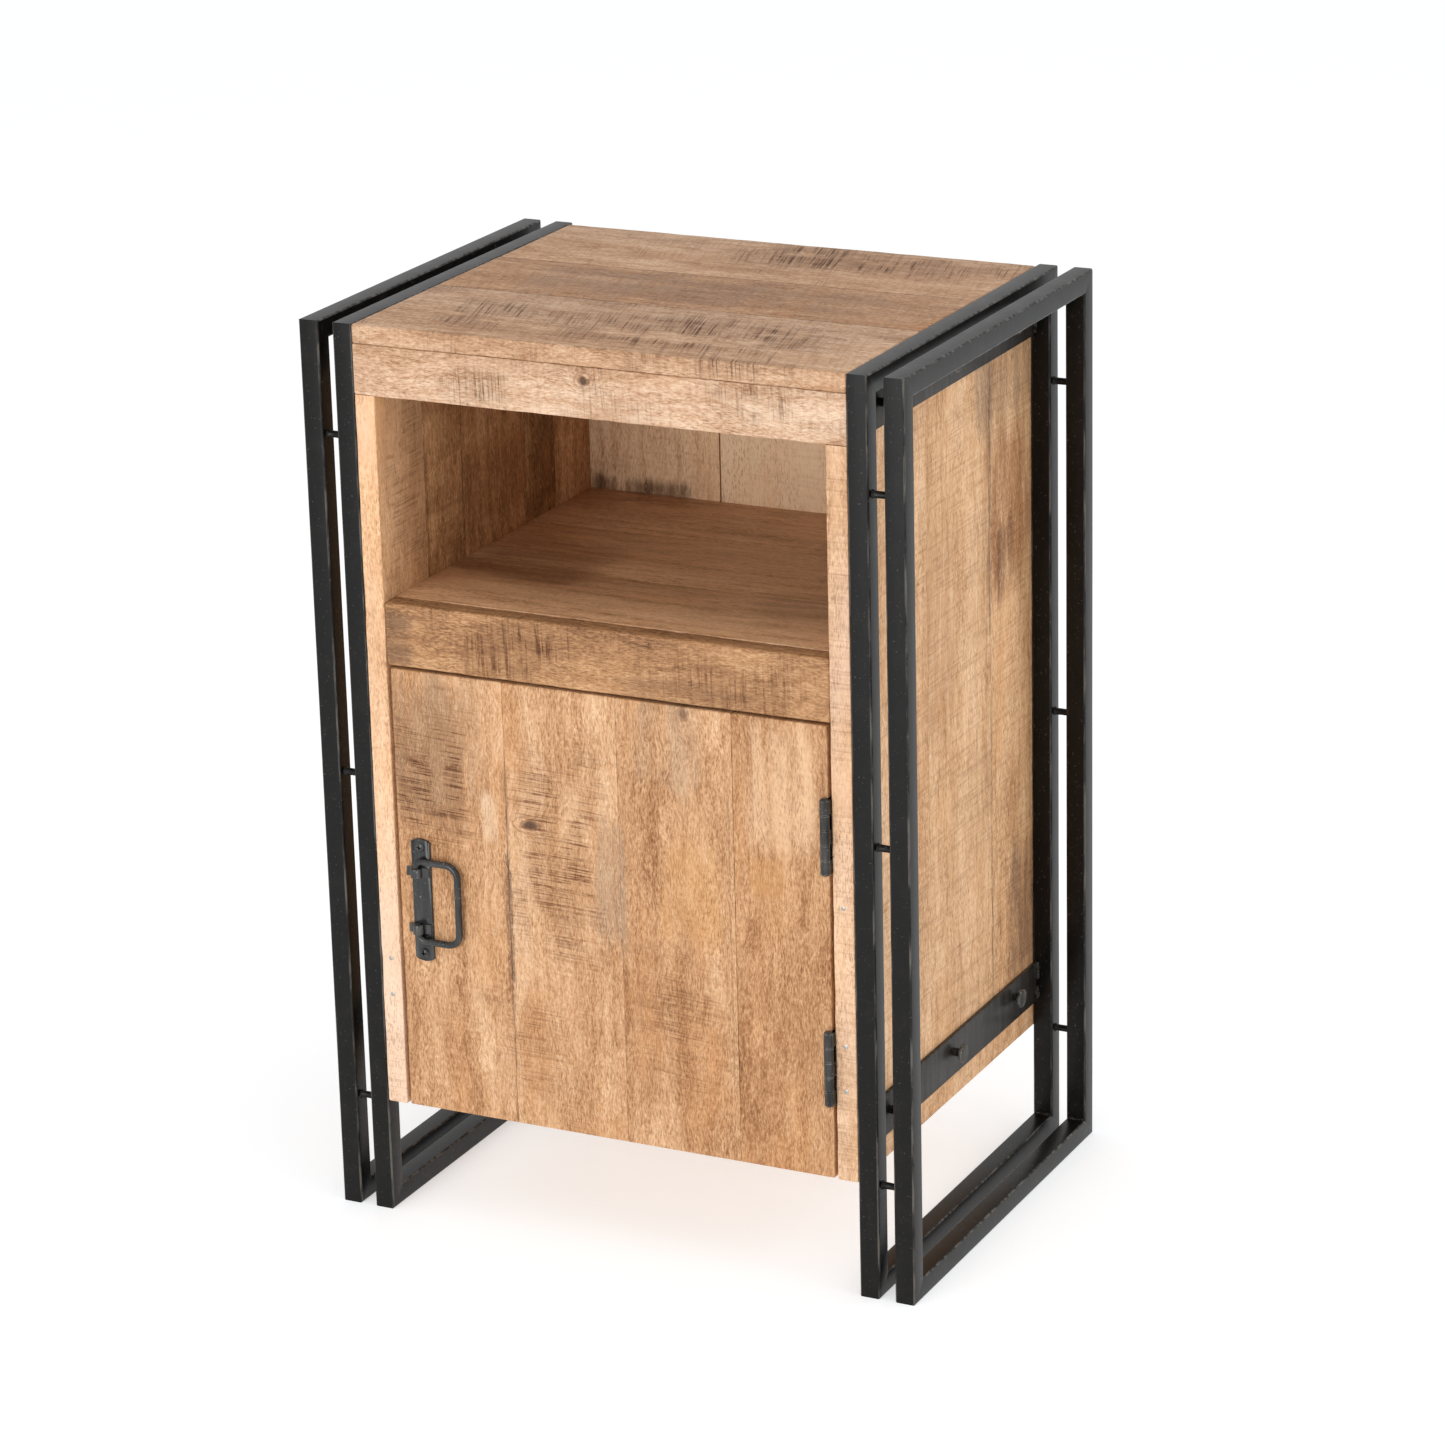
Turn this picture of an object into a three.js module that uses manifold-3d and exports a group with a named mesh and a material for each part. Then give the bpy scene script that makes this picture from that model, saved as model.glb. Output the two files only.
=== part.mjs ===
// A small sideboard: a mango-wood carcass with an open niche over a one-door cupboard,
// hung between pairs of square-tube steel loops that serve as its legs.
// Millimetres. X runs across the width, Y from the front to the back, Z up from the floor.

import * as THREE from 'three';
import { mergeVertices } from 'three/addons/utils/BufferGeometryUtils.js';
import Module from 'manifold-3d';

const wasm = await Module();
wasm.setup();

// ---------------------------------------------------------------- driving dimensions

const overallWidth = 600;
const overallHeight = 870;
const frameDepth = 430;

const tube = 20; // side of the square steel tube
const tubeWall = 1.5;
const tubeRound = 2; // outer corner radius of the tube
const frameGap = 15; // between an outer loop and the inner loop beside it
const ventDiameter = 4;

const spacerDiameter = 6.5;
const spacerHeights = { low: 110, middle: 436, high: 762 };

const sideThickness = 20.5;
const carcassUnderside = 112.5;
const carcassBack = 208;
const topThickness = 18;
const railThickness = 22;
const topRailHeight = 47.5;
const nicheFloor = 610;
const shelfRailHeight = 60.5;
const shelfThickness = 20;
const bottomThickness = 18;
const backFace = 195; // inner face of the back boards
const backThickness = 12;
const backSeams = [-82, 71];
const backSeamGap = 2;
const backLap = 6; // how far neighbouring back boards cover each other
const backLapPlay = 0.5;

const strap = { height: 40, thickness: 4 };
const strapUndersides = { low: 138.5, high: 806.5 };
const boltRise = 23.5; // bolt axis above a strap's lower edge
const boltPlaces = { front: -154, middle: -6, rear: 142 };
const boltStandOff = { front: 8, middle: 8, rear: 5 }; // underside of the head to the strap
const bolt = { shank: 8, head: 18, headThickness: 3.5, edge: 0.75, intoWood: 16 };
const boltClearance = 0.3;

const door = { left: -221, right: 221.5, underside: 113, top: 547, thickness: 20 };
const bottomSetBack = 2.5; // the bottom panel stays clear of the closed door

const hinge = {
  axisX: 220,
  axisBeforeDoor: 4.75, // the knuckles stand in front of the door's face
  heights: { low: 222, high: 444.5 },
  length: 70,
  knuckles: 5,
  knuckleGap: 0.5,
  barrelRadius: 4.5,
  bore: 2.6,
  pinRadius: 2.5,
  leafThickness: 2,
  leafReach: 21.5,
  notch: 5.25, // each leaf starts this far from the axis beside the other leaf's knuckles
  mortisePlay: 0.25,
  pinHead: { height: 1.5, rim: 0.5, crown: 1, inset: 0.75 },
};

const handle = {
  x: -196.5,
  middleZ: 323.5,
  plateWidth: 20,
  plateLength: 121,
  plateArch: 3,
  plateThickness: 2.5,
  pivotX: -200,
  rod: 6.5,
  reach: 43.5, // from the pivot to the middle of the grip
  armHeight: 79, // between the middles of the two arms
  gripBend: 12,
  pivotBend: 7,
  endLength: 10,
  screwSpacing: 105,
};
const loop = { height: 9, strip: 1.5, play: 0.25, leftFoot: 11, rightFoot: 12.5 };
const screw = { shank: 4, head: 9, headHeight: 2.4, length: 15, crossWidth: 1.1, crossReach: 5.5 };
// The dome of a screw's head, as shares of its height and of its diameter, and the recess's depth.
const screwDome = [[0, 0.5], [0.35, 0.5], [0.75, 0.4], [1, 0.22], [1, 0]];
const screwRecess = 0.55;
const screwHole = 4.6;

const catchBody = { width: 12, depth: 15, height: 44, corner: 2, middleZ: 502, gap: 0.5 };
const strikePlate = { width: 12, height: 38, thickness: 1.5, fromEdge: 1, middleZ: 502 };

// ---------------------------------------------------------------- worked-out places

const frontFace = -frameDepth / 2;
const outerFrameX = overallWidth / 2 - tube / 2;
const innerFrameX = outerFrameX - tube - frameGap;
const carcassHalf = innerFrameX - tube / 2;
const insideHalf = carcassHalf - sideThickness;
const topUnderside = overallHeight - topThickness;
const topRailUnderside = topUnderside - topRailHeight;
const railBack = frontFace + railThickness;
const windowHalfDepth = frameDepth / 2 - tube;
const hingeAxisY = frontFace - hinge.axisBeforeDoor;
const plateFront = frontFace - handle.plateThickness;
const pivotY = plateFront - loop.play - handle.rod / 2;
const loopInner = handle.rod / 2 + loop.play;
const handleFront = pivotY - loopInner - loop.strip;
// The origin is the middle of the whole footprint, handle included.
const originShift = (frameDepth / 2 + Math.abs(handleFront)) / 2 - frameDepth / 2;

// ---------------------------------------------------------------- materials

function finish(color, roughness, metalness = 0) {
  return new THREE.MeshStandardMaterial({ color, roughness, metalness });
}

const blackSteel = finish(0x33322f, 0.5, 0.6);
const boltSteel = finish(0x3a3935, 0.45, 0.7);
const topWood = finish(0xb98f63, 0.7);
const sideWood = finish(0xcda073, 0.75);
const railWood = finish(0xd5ad80, 0.7);
const shelfWood = finish(0x9a6d42, 0.5);
const backWood = finish(0xb08050, 0.7);
const doorWood = finish(0xcb9e6c, 0.65);
const catchPlastic = finish(0x5a4632, 0.6);
const zincSteel = finish(0xa9a9a4, 0.4, 0.9);

// ---------------------------------------------------------------- solids

const sideboard = new THREE.Group();
sideboard.position.y = originShift;

function place(name, geometry, material, x = 0, y = 0, z = 0) {
  const mesh = new THREE.Mesh(geometry, material);
  mesh.name = name;
  mesh.position.set(x, y, z);
  sideboard.add(mesh);
  return mesh;
}

function toSolid(geometry) {
  const bare = geometry.clone();
  bare.deleteAttribute('normal');
  bare.deleteAttribute('uv');
  const merged = mergeVertices(bare, 1e-5);
  const vertProperties = new Float32Array(merged.attributes.position.array);
  const triVerts = new Uint32Array(merged.index.array);
  return new wasm.Manifold(new wasm.Mesh({ numProp: 3, vertProperties, triVerts }));
}

function toGeometry(solid) {
  const { vertProperties, triVerts } = solid.getMesh();
  const geometry = new THREE.BufferGeometry();
  geometry.setAttribute('position', new THREE.BufferAttribute(vertProperties, 3));
  geometry.setIndex(new THREE.BufferAttribute(triVerts, 1));
  geometry.computeVertexNormals();
  return geometry;
}

// A box between two corners.
function block(low, high) {
  const size = high.map((value, i) => value - low[i]);
  const middle = high.map((value, i) => (value + low[i]) / 2);
  return new THREE.BoxGeometry(...size).translate(...middle);
}

// A round bar along X, Y or Z, centred on the origin.
function rod(radius, length, axis = 'z', sides = 24) {
  const bar = new THREE.CylinderGeometry(radius, radius, length, sides);
  if (axis === 'x') bar.rotateZ(Math.PI / 2);
  if (axis === 'z') bar.rotateX(Math.PI / 2);
  return bar;
}

// A turned solid on the X axis from a profile of [distance along X, radius] points.
function turned(profile, sides = 24) {
  const points = profile.map(([along, radius]) => new THREE.Vector2(radius, along));
  return new THREE.LatheGeometry(points, sides).rotateZ(-Math.PI / 2);
}

function without(geometry, ...cutters) {
  return toGeometry(cutters.reduce((solid, cutter) => solid.subtract(toSolid(cutter)), toSolid(geometry)));
}

// ---------------------------------------------------------------- square-tube loops

function squareSection(size, round, steps) {
  const half = size / 2 - round;
  const points = [];
  for (const [sx, sy, turn] of [[1, 1, 0], [-1, 1, 1], [-1, -1, 2], [1, -1, 3]]) {
    for (let i = 0; i <= steps; i += 1) {
      const angle = (turn + (steps ? i / steps : 0)) * (Math.PI / 2);
      points.push([sx * half + round * Math.cos(angle), sy * half + round * Math.sin(angle)]);
    }
  }
  return points;
}

// The section goes round an upright rectangle and is mitred at its four corners.
function loopOfSection(section) {
  const halfDepth = (frameDepth - tube) / 2;
  const halfHeight = (overallHeight - tube) / 2;
  const corners = [[-1, -1], [1, -1], [1, 1], [-1, 1]];
  const position = [];
  for (const [sy, sz] of corners) {
    for (const [across, out] of section) {
      position.push(across, sy * (halfDepth + out), halfHeight + tube / 2 + sz * (halfHeight + out));
    }
  }
  const index = [];
  const count = section.length;
  for (let corner = 0; corner < 4; corner += 1) {
    for (let i = 0; i < count; i += 1) {
      const a = corner * count + i;
      const b = corner * count + ((i + 1) % count);
      const c = ((corner + 1) % 4) * count + i;
      const d = ((corner + 1) % 4) * count + ((i + 1) % count);
      index.push(a, b, c, b, d, c);
    }
  }
  const geometry = new THREE.BufferGeometry();
  geometry.setAttribute('position', new THREE.Float32BufferAttribute(position, 3));
  geometry.setIndex(index);
  return geometry;
}

// A vent under the bottom rail opens the bore of the tube.
function tubeLoop() {
  const skin = loopOfSection(squareSection(tube, tubeRound, 4));
  const bore = loopOfSection(squareSection(tube - 2 * tubeWall, 0, 0));
  const vent = rod(ventDiameter / 2, 4 * tubeWall, 'z', 12);
  return without(skin, bore, vent);
}

function addFrames(side, label) {
  place(`outer_frame_${label}`, tubeLoop(), blackSteel, side * outerFrameX);
  place(`inner_frame_${label}`, tubeLoop(), blackSteel, side * innerFrameX);
  const spacerX = (side * (outerFrameX + innerFrameX)) / 2;
  const postY = frameDepth / 2 - tube / 2;
  for (const [end, y] of Object.entries({ front: -postY, rear: postY })) {
    for (const [level, z] of Object.entries(spacerHeights)) {
      const bar = rod(spacerDiameter / 2, frameGap, 'x', 16);
      place(`spacer_${label}_${end}_${level}`, bar, blackSteel, spacerX, y, z);
    }
  }
}

// ---------------------------------------------------------------- straps and bolts

function strapBar() {
  const low = [-strap.thickness / 2, -windowHalfDepth, 0];
  const high = [strap.thickness / 2, windowHalfDepth, strap.height];
  const holes = Object.values(boltPlaces).map((y) => {
    return rod(bolt.shank / 2 + boltClearance, 2 * strap.thickness, 'x', 16).translate(0, y, boltRise);
  });
  return without(block(low, high), ...holes);
}

// The bolt's axis is X and its origin is on the outer face of the wood.
function boltSolid(standOff) {
  const under = strap.thickness + standOff;
  const face = under + bolt.headThickness;
  const headRadius = bolt.head / 2;
  return turned([
    [-bolt.intoWood, 0],
    [-bolt.intoWood, bolt.shank / 2],
    [under, bolt.shank / 2],
    [under, headRadius],
    [face - bolt.edge, headRadius],
    [face, headRadius - bolt.edge],
    [face, 0],
  ], 20);
}

function addStraps(side, label) {
  const strapX = side * (carcassHalf + strap.thickness / 2);
  for (const [level, z] of Object.entries(strapUndersides)) {
    place(`strap_${label}_${level}`, strapBar(), blackSteel, strapX, 0, z);
    for (const [end, y] of Object.entries(boltPlaces)) {
      const name = `bolt_${label}_${level}_${end}`;
      const geometry = boltSolid(boltStandOff[end]);
      const mesh = place(name, geometry, boltSteel, side * carcassHalf, y, z + boltRise);
      if (side < 0) mesh.rotation.z = Math.PI;
    }
  }
}

// ---------------------------------------------------------------- carcass

// A side panel, notched at its top front corner for the top rail, with blind bolt holes.
function sidePanel(side) {
  const outline = new THREE.Shape([
    new THREE.Vector2(frontFace, carcassUnderside),
    new THREE.Vector2(carcassBack, carcassUnderside),
    new THREE.Vector2(carcassBack, topUnderside),
    new THREE.Vector2(railBack, topUnderside),
    new THREE.Vector2(railBack, topRailUnderside),
    new THREE.Vector2(frontFace, topRailUnderside),
  ]);
  const board = new THREE.ExtrudeGeometry(outline, { depth: sideThickness, bevelEnabled: false });
  // The outline's Y and Z become the panel's, and the extrusion runs along X.
  board.applyMatrix4(new THREE.Matrix4().set(0, 0, 1, 0, 1, 0, 0, 0, 0, 1, 0, 0, 0, 0, 0, 1));
  board.translate(-sideThickness / 2, 0, 0);
  const depth = bolt.intoWood + 2 * boltClearance;
  const holes = [];
  for (const z of Object.values(strapUndersides)) {
    for (const y of Object.values(boltPlaces)) {
      const hole = rod(bolt.shank / 2 + boltClearance, 2 * depth, 'x', 16);
      holes.push(hole.translate((side * sideThickness) / 2, y, z + boltRise));
    }
  }
  return without(board, ...holes);
}

// Upright back board, from seam to seam or out to a side panel. At a seam the board on the left
// has a tongue behind, and the one on the right has a lip in front of it, so no light comes through.
function backBoard(seamLeft, seamRight) {
  const back = backFace + backThickness;
  const middle = backFace + backThickness / 2;
  const half = backSeamGap / 2;
  const left = seamLeft === null ? -insideHalf : seamLeft + half;
  const right = seamRight === null ? insideHalf : seamRight - half;
  const points = [[left, backFace], [right, backFace]];
  if (seamRight === null) {
    points.push([right, back]);
  } else {
    const tongue = seamRight + half + backLap;
    points.push([right, middle + backLapPlay], [tongue, middle + backLapPlay], [tongue, back]);
  }
  if (seamLeft === null) {
    points.push([left, back]);
  } else {
    const shoulder = seamLeft + half + backLap + 2 * backLapPlay;
    points.push([shoulder, back], [shoulder, middle - backLapPlay], [left, middle - backLapPlay]);
  }
  const outline = new THREE.Shape(points.map(([x, y]) => new THREE.Vector2(x, y)));
  const depth = topUnderside - carcassUnderside;
  return new THREE.ExtrudeGeometry(outline, { depth, bevelEnabled: false });
}

function addCarcass() {
  const panelX = carcassHalf - sideThickness / 2;
  place('side_panel_left', sidePanel(-1), sideWood, -panelX);
  place('side_panel_right', sidePanel(1), sideWood, panelX);
  const wide = carcassHalf;
  const inner = insideHalf;
  const top = block([-wide, frontFace, topUnderside], [wide, carcassBack, overallHeight]);
  place('top_panel', top, topWood);
  const topRail = block([-wide, frontFace, topRailUnderside], [wide, railBack, topUnderside]);
  place('top_front_rail', topRail, railWood);
  const shelfRailLow = nicheFloor - shelfRailHeight;
  const shelfRail = block([-inner, frontFace, shelfRailLow], [inner, railBack, nicheFloor]);
  place('shelf_front_rail', shelfRail, railWood);
  const shelf = block([-inner, railBack, nicheFloor - shelfThickness], [inner, backFace, nicheFloor]);
  place('shelf_panel', shelf, shelfWood);
  const bottomFront = frontFace + door.thickness + bottomSetBack;
  const bottomTop = carcassUnderside + bottomThickness;
  const bottom = block([-inner, bottomFront, carcassUnderside], [inner, backFace, bottomTop]);
  place('bottom_panel', bottom, backWood);
  const seams = [null, ...backSeams, null];
  const names = ['back_board_left', 'back_board_middle', 'back_board_right'];
  names.forEach((name, i) => {
    place(name, backBoard(seams[i], seams[i + 1]), backWood, 0, 0, carcassUnderside);
  });
}

// ---------------------------------------------------------------- door and hinges

function addDoor() {
  const back = frontFace + door.thickness;
  const panel = block([door.left, frontFace, door.underside], [door.right, back, door.top]);
  const play = hinge.mortisePlay;
  const seatX = hinge.axisX - hinge.barrelRadius - play;
  const seatY = hingeAxisY + hinge.leafReach + play;
  const half = hinge.length / 2 + play;
  const cutters = Object.values(hinge.heights).map((z) => {
    return block([seatX, frontFace - 1, z - half], [door.right + 1, seatY, z + half]);
  });
  const holeDepth = screw.length + 1;
  for (const sign of [-1, 1]) {
    const z = handle.middleZ + (sign * handle.screwSpacing) / 2;
    const hole = rod(screwHole / 2, 2 * holeDepth, 'y', 16);
    cutters.push(hole.translate(handle.x, frontFace, z));
  }
  place('door_panel', without(panel, ...cutters), doorWood);
}

// A leaf with its rolled knuckles: the pin axis is Z, and the leaf runs back along Y
// on the given side of it. The leaf takes every second knuckle, from the first given.
function hingeLeaf(side, firstKnuckle) {
  const pitch = (hinge.length + hinge.knuckleGap) / hinge.knuckles;
  const outer = hinge.barrelRadius;
  const inner = outer - hinge.leafThickness;
  const xs = [side * inner, side * outer].sort((a, b) => a - b);
  const half = hinge.length / 2;
  let solid = toSolid(block([xs[0], hinge.notch, -half], [xs[1], hinge.leafReach, half]));
  for (let i = firstKnuckle; i < hinge.knuckles; i += 2) {
    const low = -half + i * pitch;
    const high = low + pitch - hinge.knuckleGap;
    const knuckle = rod(outer, high - low, 'z', 32).translate(0, 0, (low + high) / 2);
    const root = block([xs[0], 0, low], [xs[1], hinge.notch + 1, high]);
    solid = solid.add(toSolid(knuckle)).add(toSolid(root));
  }
  return toGeometry(solid.subtract(toSolid(rod(hinge.bore, 2 * hinge.length, 'z', 32))));
}

// A plain pin with a low head at each end, standing just clear of the end knuckles.
function hingePin() {
  const half = hinge.length / 2 + hinge.knuckleGap / 2;
  const { height, rim, crown, inset } = hinge.pinHead;
  const head = hinge.barrelRadius - inset;
  const upper = [
    [half, hinge.pinRadius], [half, head], [half + rim, head],
    [half + height, head - crown], [half + height, 0],
  ];
  const lower = upper.map(([along, radius]) => [-along, radius]).reverse();
  return turned([...lower, ...upper]).rotateY(-Math.PI / 2);
}

function addHinges() {
  for (const [level, z] of Object.entries(hinge.heights)) {
    place(`hinge_${level}_frame_leaf`, hingeLeaf(1, 0), blackSteel, hinge.axisX, hingeAxisY, z);
    place(`hinge_${level}_door_leaf`, hingeLeaf(-1, 1), blackSteel, hinge.axisX, hingeAxisY, z);
    place(`hinge_${level}_pin`, hingePin(), blackSteel, hinge.axisX, hingeAxisY, z);
  }
}

// ---------------------------------------------------------------- swinging pull

function handlePlate() {
  const halfWidth = handle.plateWidth / 2;
  const shoulder = handle.plateLength / 2 - handle.plateArch;
  const radius = (halfWidth ** 2 + handle.plateArch ** 2) / (2 * handle.plateArch);
  const centre = shoulder + handle.plateArch - radius;
  const sweep = Math.asin(halfWidth / radius);
  const outline = new THREE.Shape();
  outline.absarc(0, centre, radius, Math.PI / 2 - sweep, Math.PI / 2 + sweep);
  outline.absarc(0, -centre, radius, -Math.PI / 2 - sweep, -Math.PI / 2 + sweep);
  for (const sign of [-1, 1]) {
    const hole = new THREE.Path();
    hole.absarc(0, (sign * handle.screwSpacing) / 2, screwHole / 2, 0, 2 * Math.PI, true);
    outline.holes.push(hole);
  }
  const depth = handle.plateThickness;
  const plate = new THREE.ExtrudeGeometry(outline, { depth, bevelEnabled: false, curveSegments: 12 });
  return plate.rotateX(Math.PI / 2);
}

// The bail is one bent rod: two arms, the grip, and the ends turned in along the pivot axis.
function bailPath() {
  const half = handle.armHeight / 2;
  const path = new THREE.CurvePath();
  let here = new THREE.Vector3(0, 0, half - handle.pivotBend - handle.endLength);
  const line = (x, z) => {
    const next = new THREE.Vector3(x, 0, z);
    path.add(new THREE.LineCurve3(here, next));
    here = next;
  };
  // A quarter bend that leaves `here` towards the corner and arrives beyond it. With its control
  // points this far towards the corner, a cubic curve follows a quarter circle.
  const quarter = 0.5523;
  const bend = (cornerX, cornerZ, x, z) => {
    const corner = new THREE.Vector3(cornerX, 0, cornerZ);
    const next = new THREE.Vector3(x, 0, z);
    const leave = here.clone().lerp(corner, quarter);
    const arrive = next.clone().lerp(corner, quarter);
    path.add(new THREE.CubicBezierCurve3(here, leave, arrive, next));
    here = next;
  };
  line(0, half - handle.pivotBend);
  bend(0, half, handle.pivotBend, half);
  line(handle.reach - handle.gripBend, half);
  bend(handle.reach, half, handle.reach, half - handle.gripBend);
  line(handle.reach, -half + handle.gripBend);
  bend(handle.reach, -half, handle.reach - handle.gripBend, -half);
  line(handle.pivotBend, -half);
  bend(0, -half, 0, -half + handle.pivotBend);
  line(0, -half + handle.pivotBend + handle.endLength);
  return path;
}

function bail() {
  const section = new THREE.Shape();
  section.absarc(0, 0, handle.rod / 2, 0, 2 * Math.PI);
  const steps = 60;
  return new THREE.ExtrudeGeometry(section, { steps, extrudePath: bailPath(), curveSegments: 6 });
}

// A strip folded over the bail's end, with a foot on the plate to each side of it.
function pivotLoop() {
  const inner = loopInner;
  const outer = loopInner + loop.strip;
  const plate = plateFront - pivotY;
  const outline = new THREE.Shape();
  outline.moveTo(-loop.leftFoot, plate);
  outline.lineTo(-loop.leftFoot, plate - loop.strip);
  outline.lineTo(-outer, plate - loop.strip);
  outline.absarc(0, 0, outer, -Math.PI, 0);
  outline.lineTo(outer, plate - loop.strip);
  outline.lineTo(loop.rightFoot, plate - loop.strip);
  outline.lineTo(loop.rightFoot, plate);
  outline.lineTo(inner, plate);
  outline.absarc(0, 0, inner, 0, -Math.PI, true);
  outline.lineTo(-inner, plate);
  const options = { depth: loop.height, bevelEnabled: false, curveSegments: 12 };
  return new THREE.ExtrudeGeometry(outline, options);
}

// A domed wood screw with a cross recess, pointing back along Y from the plate's face.
function crossScrew() {
  const { shank, head, headHeight, length } = screw;
  const dome = screwDome.map(([rise, width]) => [headHeight * rise, head * width]);
  const profile = [[-length, 0], [-length + shank / 2, shank / 2], [0, shank / 2], ...dome];
  const body = turned(profile).rotateZ(-Math.PI / 2);
  const reach = screw.crossReach / 2;
  const half = screw.crossWidth / 2;
  const floor = -headHeight * (1 - screwRecess);
  const upright = block([-half, -headHeight - 1, -reach], [half, floor, reach]);
  const level = block([-reach, -headHeight - 1, -half], [reach, floor, half]);
  return without(body, upright, level);
}

function addHandle() {
  place('handle_plate', handlePlate(), blackSteel, handle.x, frontFace, handle.middleZ);
  place('handle_bail', bail(), blackSteel, handle.pivotX, pivotY, handle.middleZ);
  const arm = handle.armHeight / 2 - handle.pivotBend;
  const levels = { high: handle.middleZ + arm - loop.height, low: handle.middleZ - arm };
  for (const [level, z] of Object.entries(levels)) {
    place(`handle_loop_${level}`, pivotLoop(), blackSteel, handle.pivotX, pivotY, z);
    const sign = level === 'high' ? 1 : -1;
    const screwZ = handle.middleZ + (sign * handle.screwSpacing) / 2;
    place(`handle_screw_${level}`, crossScrew(), blackSteel, handle.x, plateFront, screwZ);
  }
}

// ---------------------------------------------------------------- magnetic catch

function addCatch() {
  const { width, depth, height, corner, middleZ } = catchBody;
  const outline = new THREE.Shape();
  outline.moveTo(0, 0);
  outline.lineTo(width - corner, 0);
  outline.absarc(width - corner, corner, corner, -Math.PI / 2, 0);
  outline.lineTo(width, depth - corner);
  outline.absarc(width - corner, depth - corner, corner, 0, Math.PI / 2);
  outline.lineTo(0, depth);
  const options = { depth: height, bevelEnabled: false, curveSegments: 4 };
  const body = new THREE.ExtrudeGeometry(outline, options);
  const doorBack = frontFace + door.thickness;
  const bodyFront = doorBack + strikePlate.thickness + catchBody.gap;
  place('catch_body', body, catchPlastic, -insideHalf, bodyFront, middleZ - height / 2);
  const left = door.left + strikePlate.fromEdge;
  const low = [left, doorBack, strikePlate.middleZ - strikePlate.height / 2];
  const high = [left + strikePlate.width, doorBack + strikePlate.thickness, low[2] + strikePlate.height];
  place('strike_plate', block(low, high), zincSteel);
}

// ---------------------------------------------------------------- assembly

for (const [side, label] of [[-1, 'left'], [1, 'right']]) {
  addFrames(side, label);
  addStraps(side, label);
}
addCarcass();
addDoor();
addHinges();
addHandle();
addCatch();

export default sideboard;
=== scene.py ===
import math
import random

import bmesh
import bpy
from mathutils import Matrix, Quaternion, Vector, noise


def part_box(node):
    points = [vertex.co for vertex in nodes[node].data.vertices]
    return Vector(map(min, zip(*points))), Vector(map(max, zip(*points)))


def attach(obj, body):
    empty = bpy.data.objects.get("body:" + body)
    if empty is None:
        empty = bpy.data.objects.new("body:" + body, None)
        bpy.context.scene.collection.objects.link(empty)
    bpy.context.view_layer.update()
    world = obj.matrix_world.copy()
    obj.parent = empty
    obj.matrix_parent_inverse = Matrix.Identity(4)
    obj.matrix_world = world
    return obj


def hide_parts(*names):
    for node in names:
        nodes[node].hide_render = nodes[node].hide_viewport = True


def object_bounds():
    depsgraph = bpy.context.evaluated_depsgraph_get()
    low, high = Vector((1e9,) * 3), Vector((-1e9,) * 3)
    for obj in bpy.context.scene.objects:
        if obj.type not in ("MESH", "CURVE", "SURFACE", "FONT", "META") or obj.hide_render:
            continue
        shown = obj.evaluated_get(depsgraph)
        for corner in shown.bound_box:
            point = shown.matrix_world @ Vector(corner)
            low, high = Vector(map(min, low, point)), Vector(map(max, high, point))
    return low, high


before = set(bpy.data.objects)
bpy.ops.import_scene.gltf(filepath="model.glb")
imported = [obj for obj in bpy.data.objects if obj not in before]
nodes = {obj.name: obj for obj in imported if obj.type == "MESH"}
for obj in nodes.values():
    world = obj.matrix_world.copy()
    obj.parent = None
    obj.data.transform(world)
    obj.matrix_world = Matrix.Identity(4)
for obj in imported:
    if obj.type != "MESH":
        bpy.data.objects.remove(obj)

cad_low, cad_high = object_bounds()
scene = bpy.context.scene
MM = 0.001


# ------------------------------------------------------------------ finishes: the mixing bench


class Field:
    """A socket that varies over a surface. Arithmetic on it adds Math nodes."""

    def __init__(self, finish, socket):
        self.finish = finish
        self.socket = socket

    def _maths(self, operation, *values):
        return self.finish.add("ShaderNodeMath", {"operation": operation}, dict(enumerate(values)))

    def __add__(self, other):
        return self._maths("ADD", self, other)

    def __sub__(self, other):
        return self._maths("SUBTRACT", self, other)

    def __mul__(self, other):
        return self._maths("MULTIPLY", self, other)

    def __radd__(self, other):
        return self._maths("ADD", other, self)

    def __rsub__(self, other):
        return self._maths("SUBTRACT", other, self)

    def __rmul__(self, other):
        return self._maths("MULTIPLY", other, self)

    def root(self):
        return self._maths("SQRT", self)

    def sine(self):
        return self._maths("SINE", self)

    def most(self, other):
        return self._maths("MAXIMUM", self, other)

    def least(self, other):
        return self._maths("MINIMUM", self, other)

    def step(self, low, high):
        """0 below low, 1 above high, with a soft turn between. Swap the two for the reverse."""
        settings = {"interpolation_type": "SMOOTHSTEP"}
        values = {"Value": self, "From Min": low, "From Max": high}
        if low > high:
            values.update({"From Min": high, "From Max": low, "To Min": 1.0, "To Max": 0.0})
        return self.finish.add("ShaderNodeMapRange", settings, values)


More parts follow.
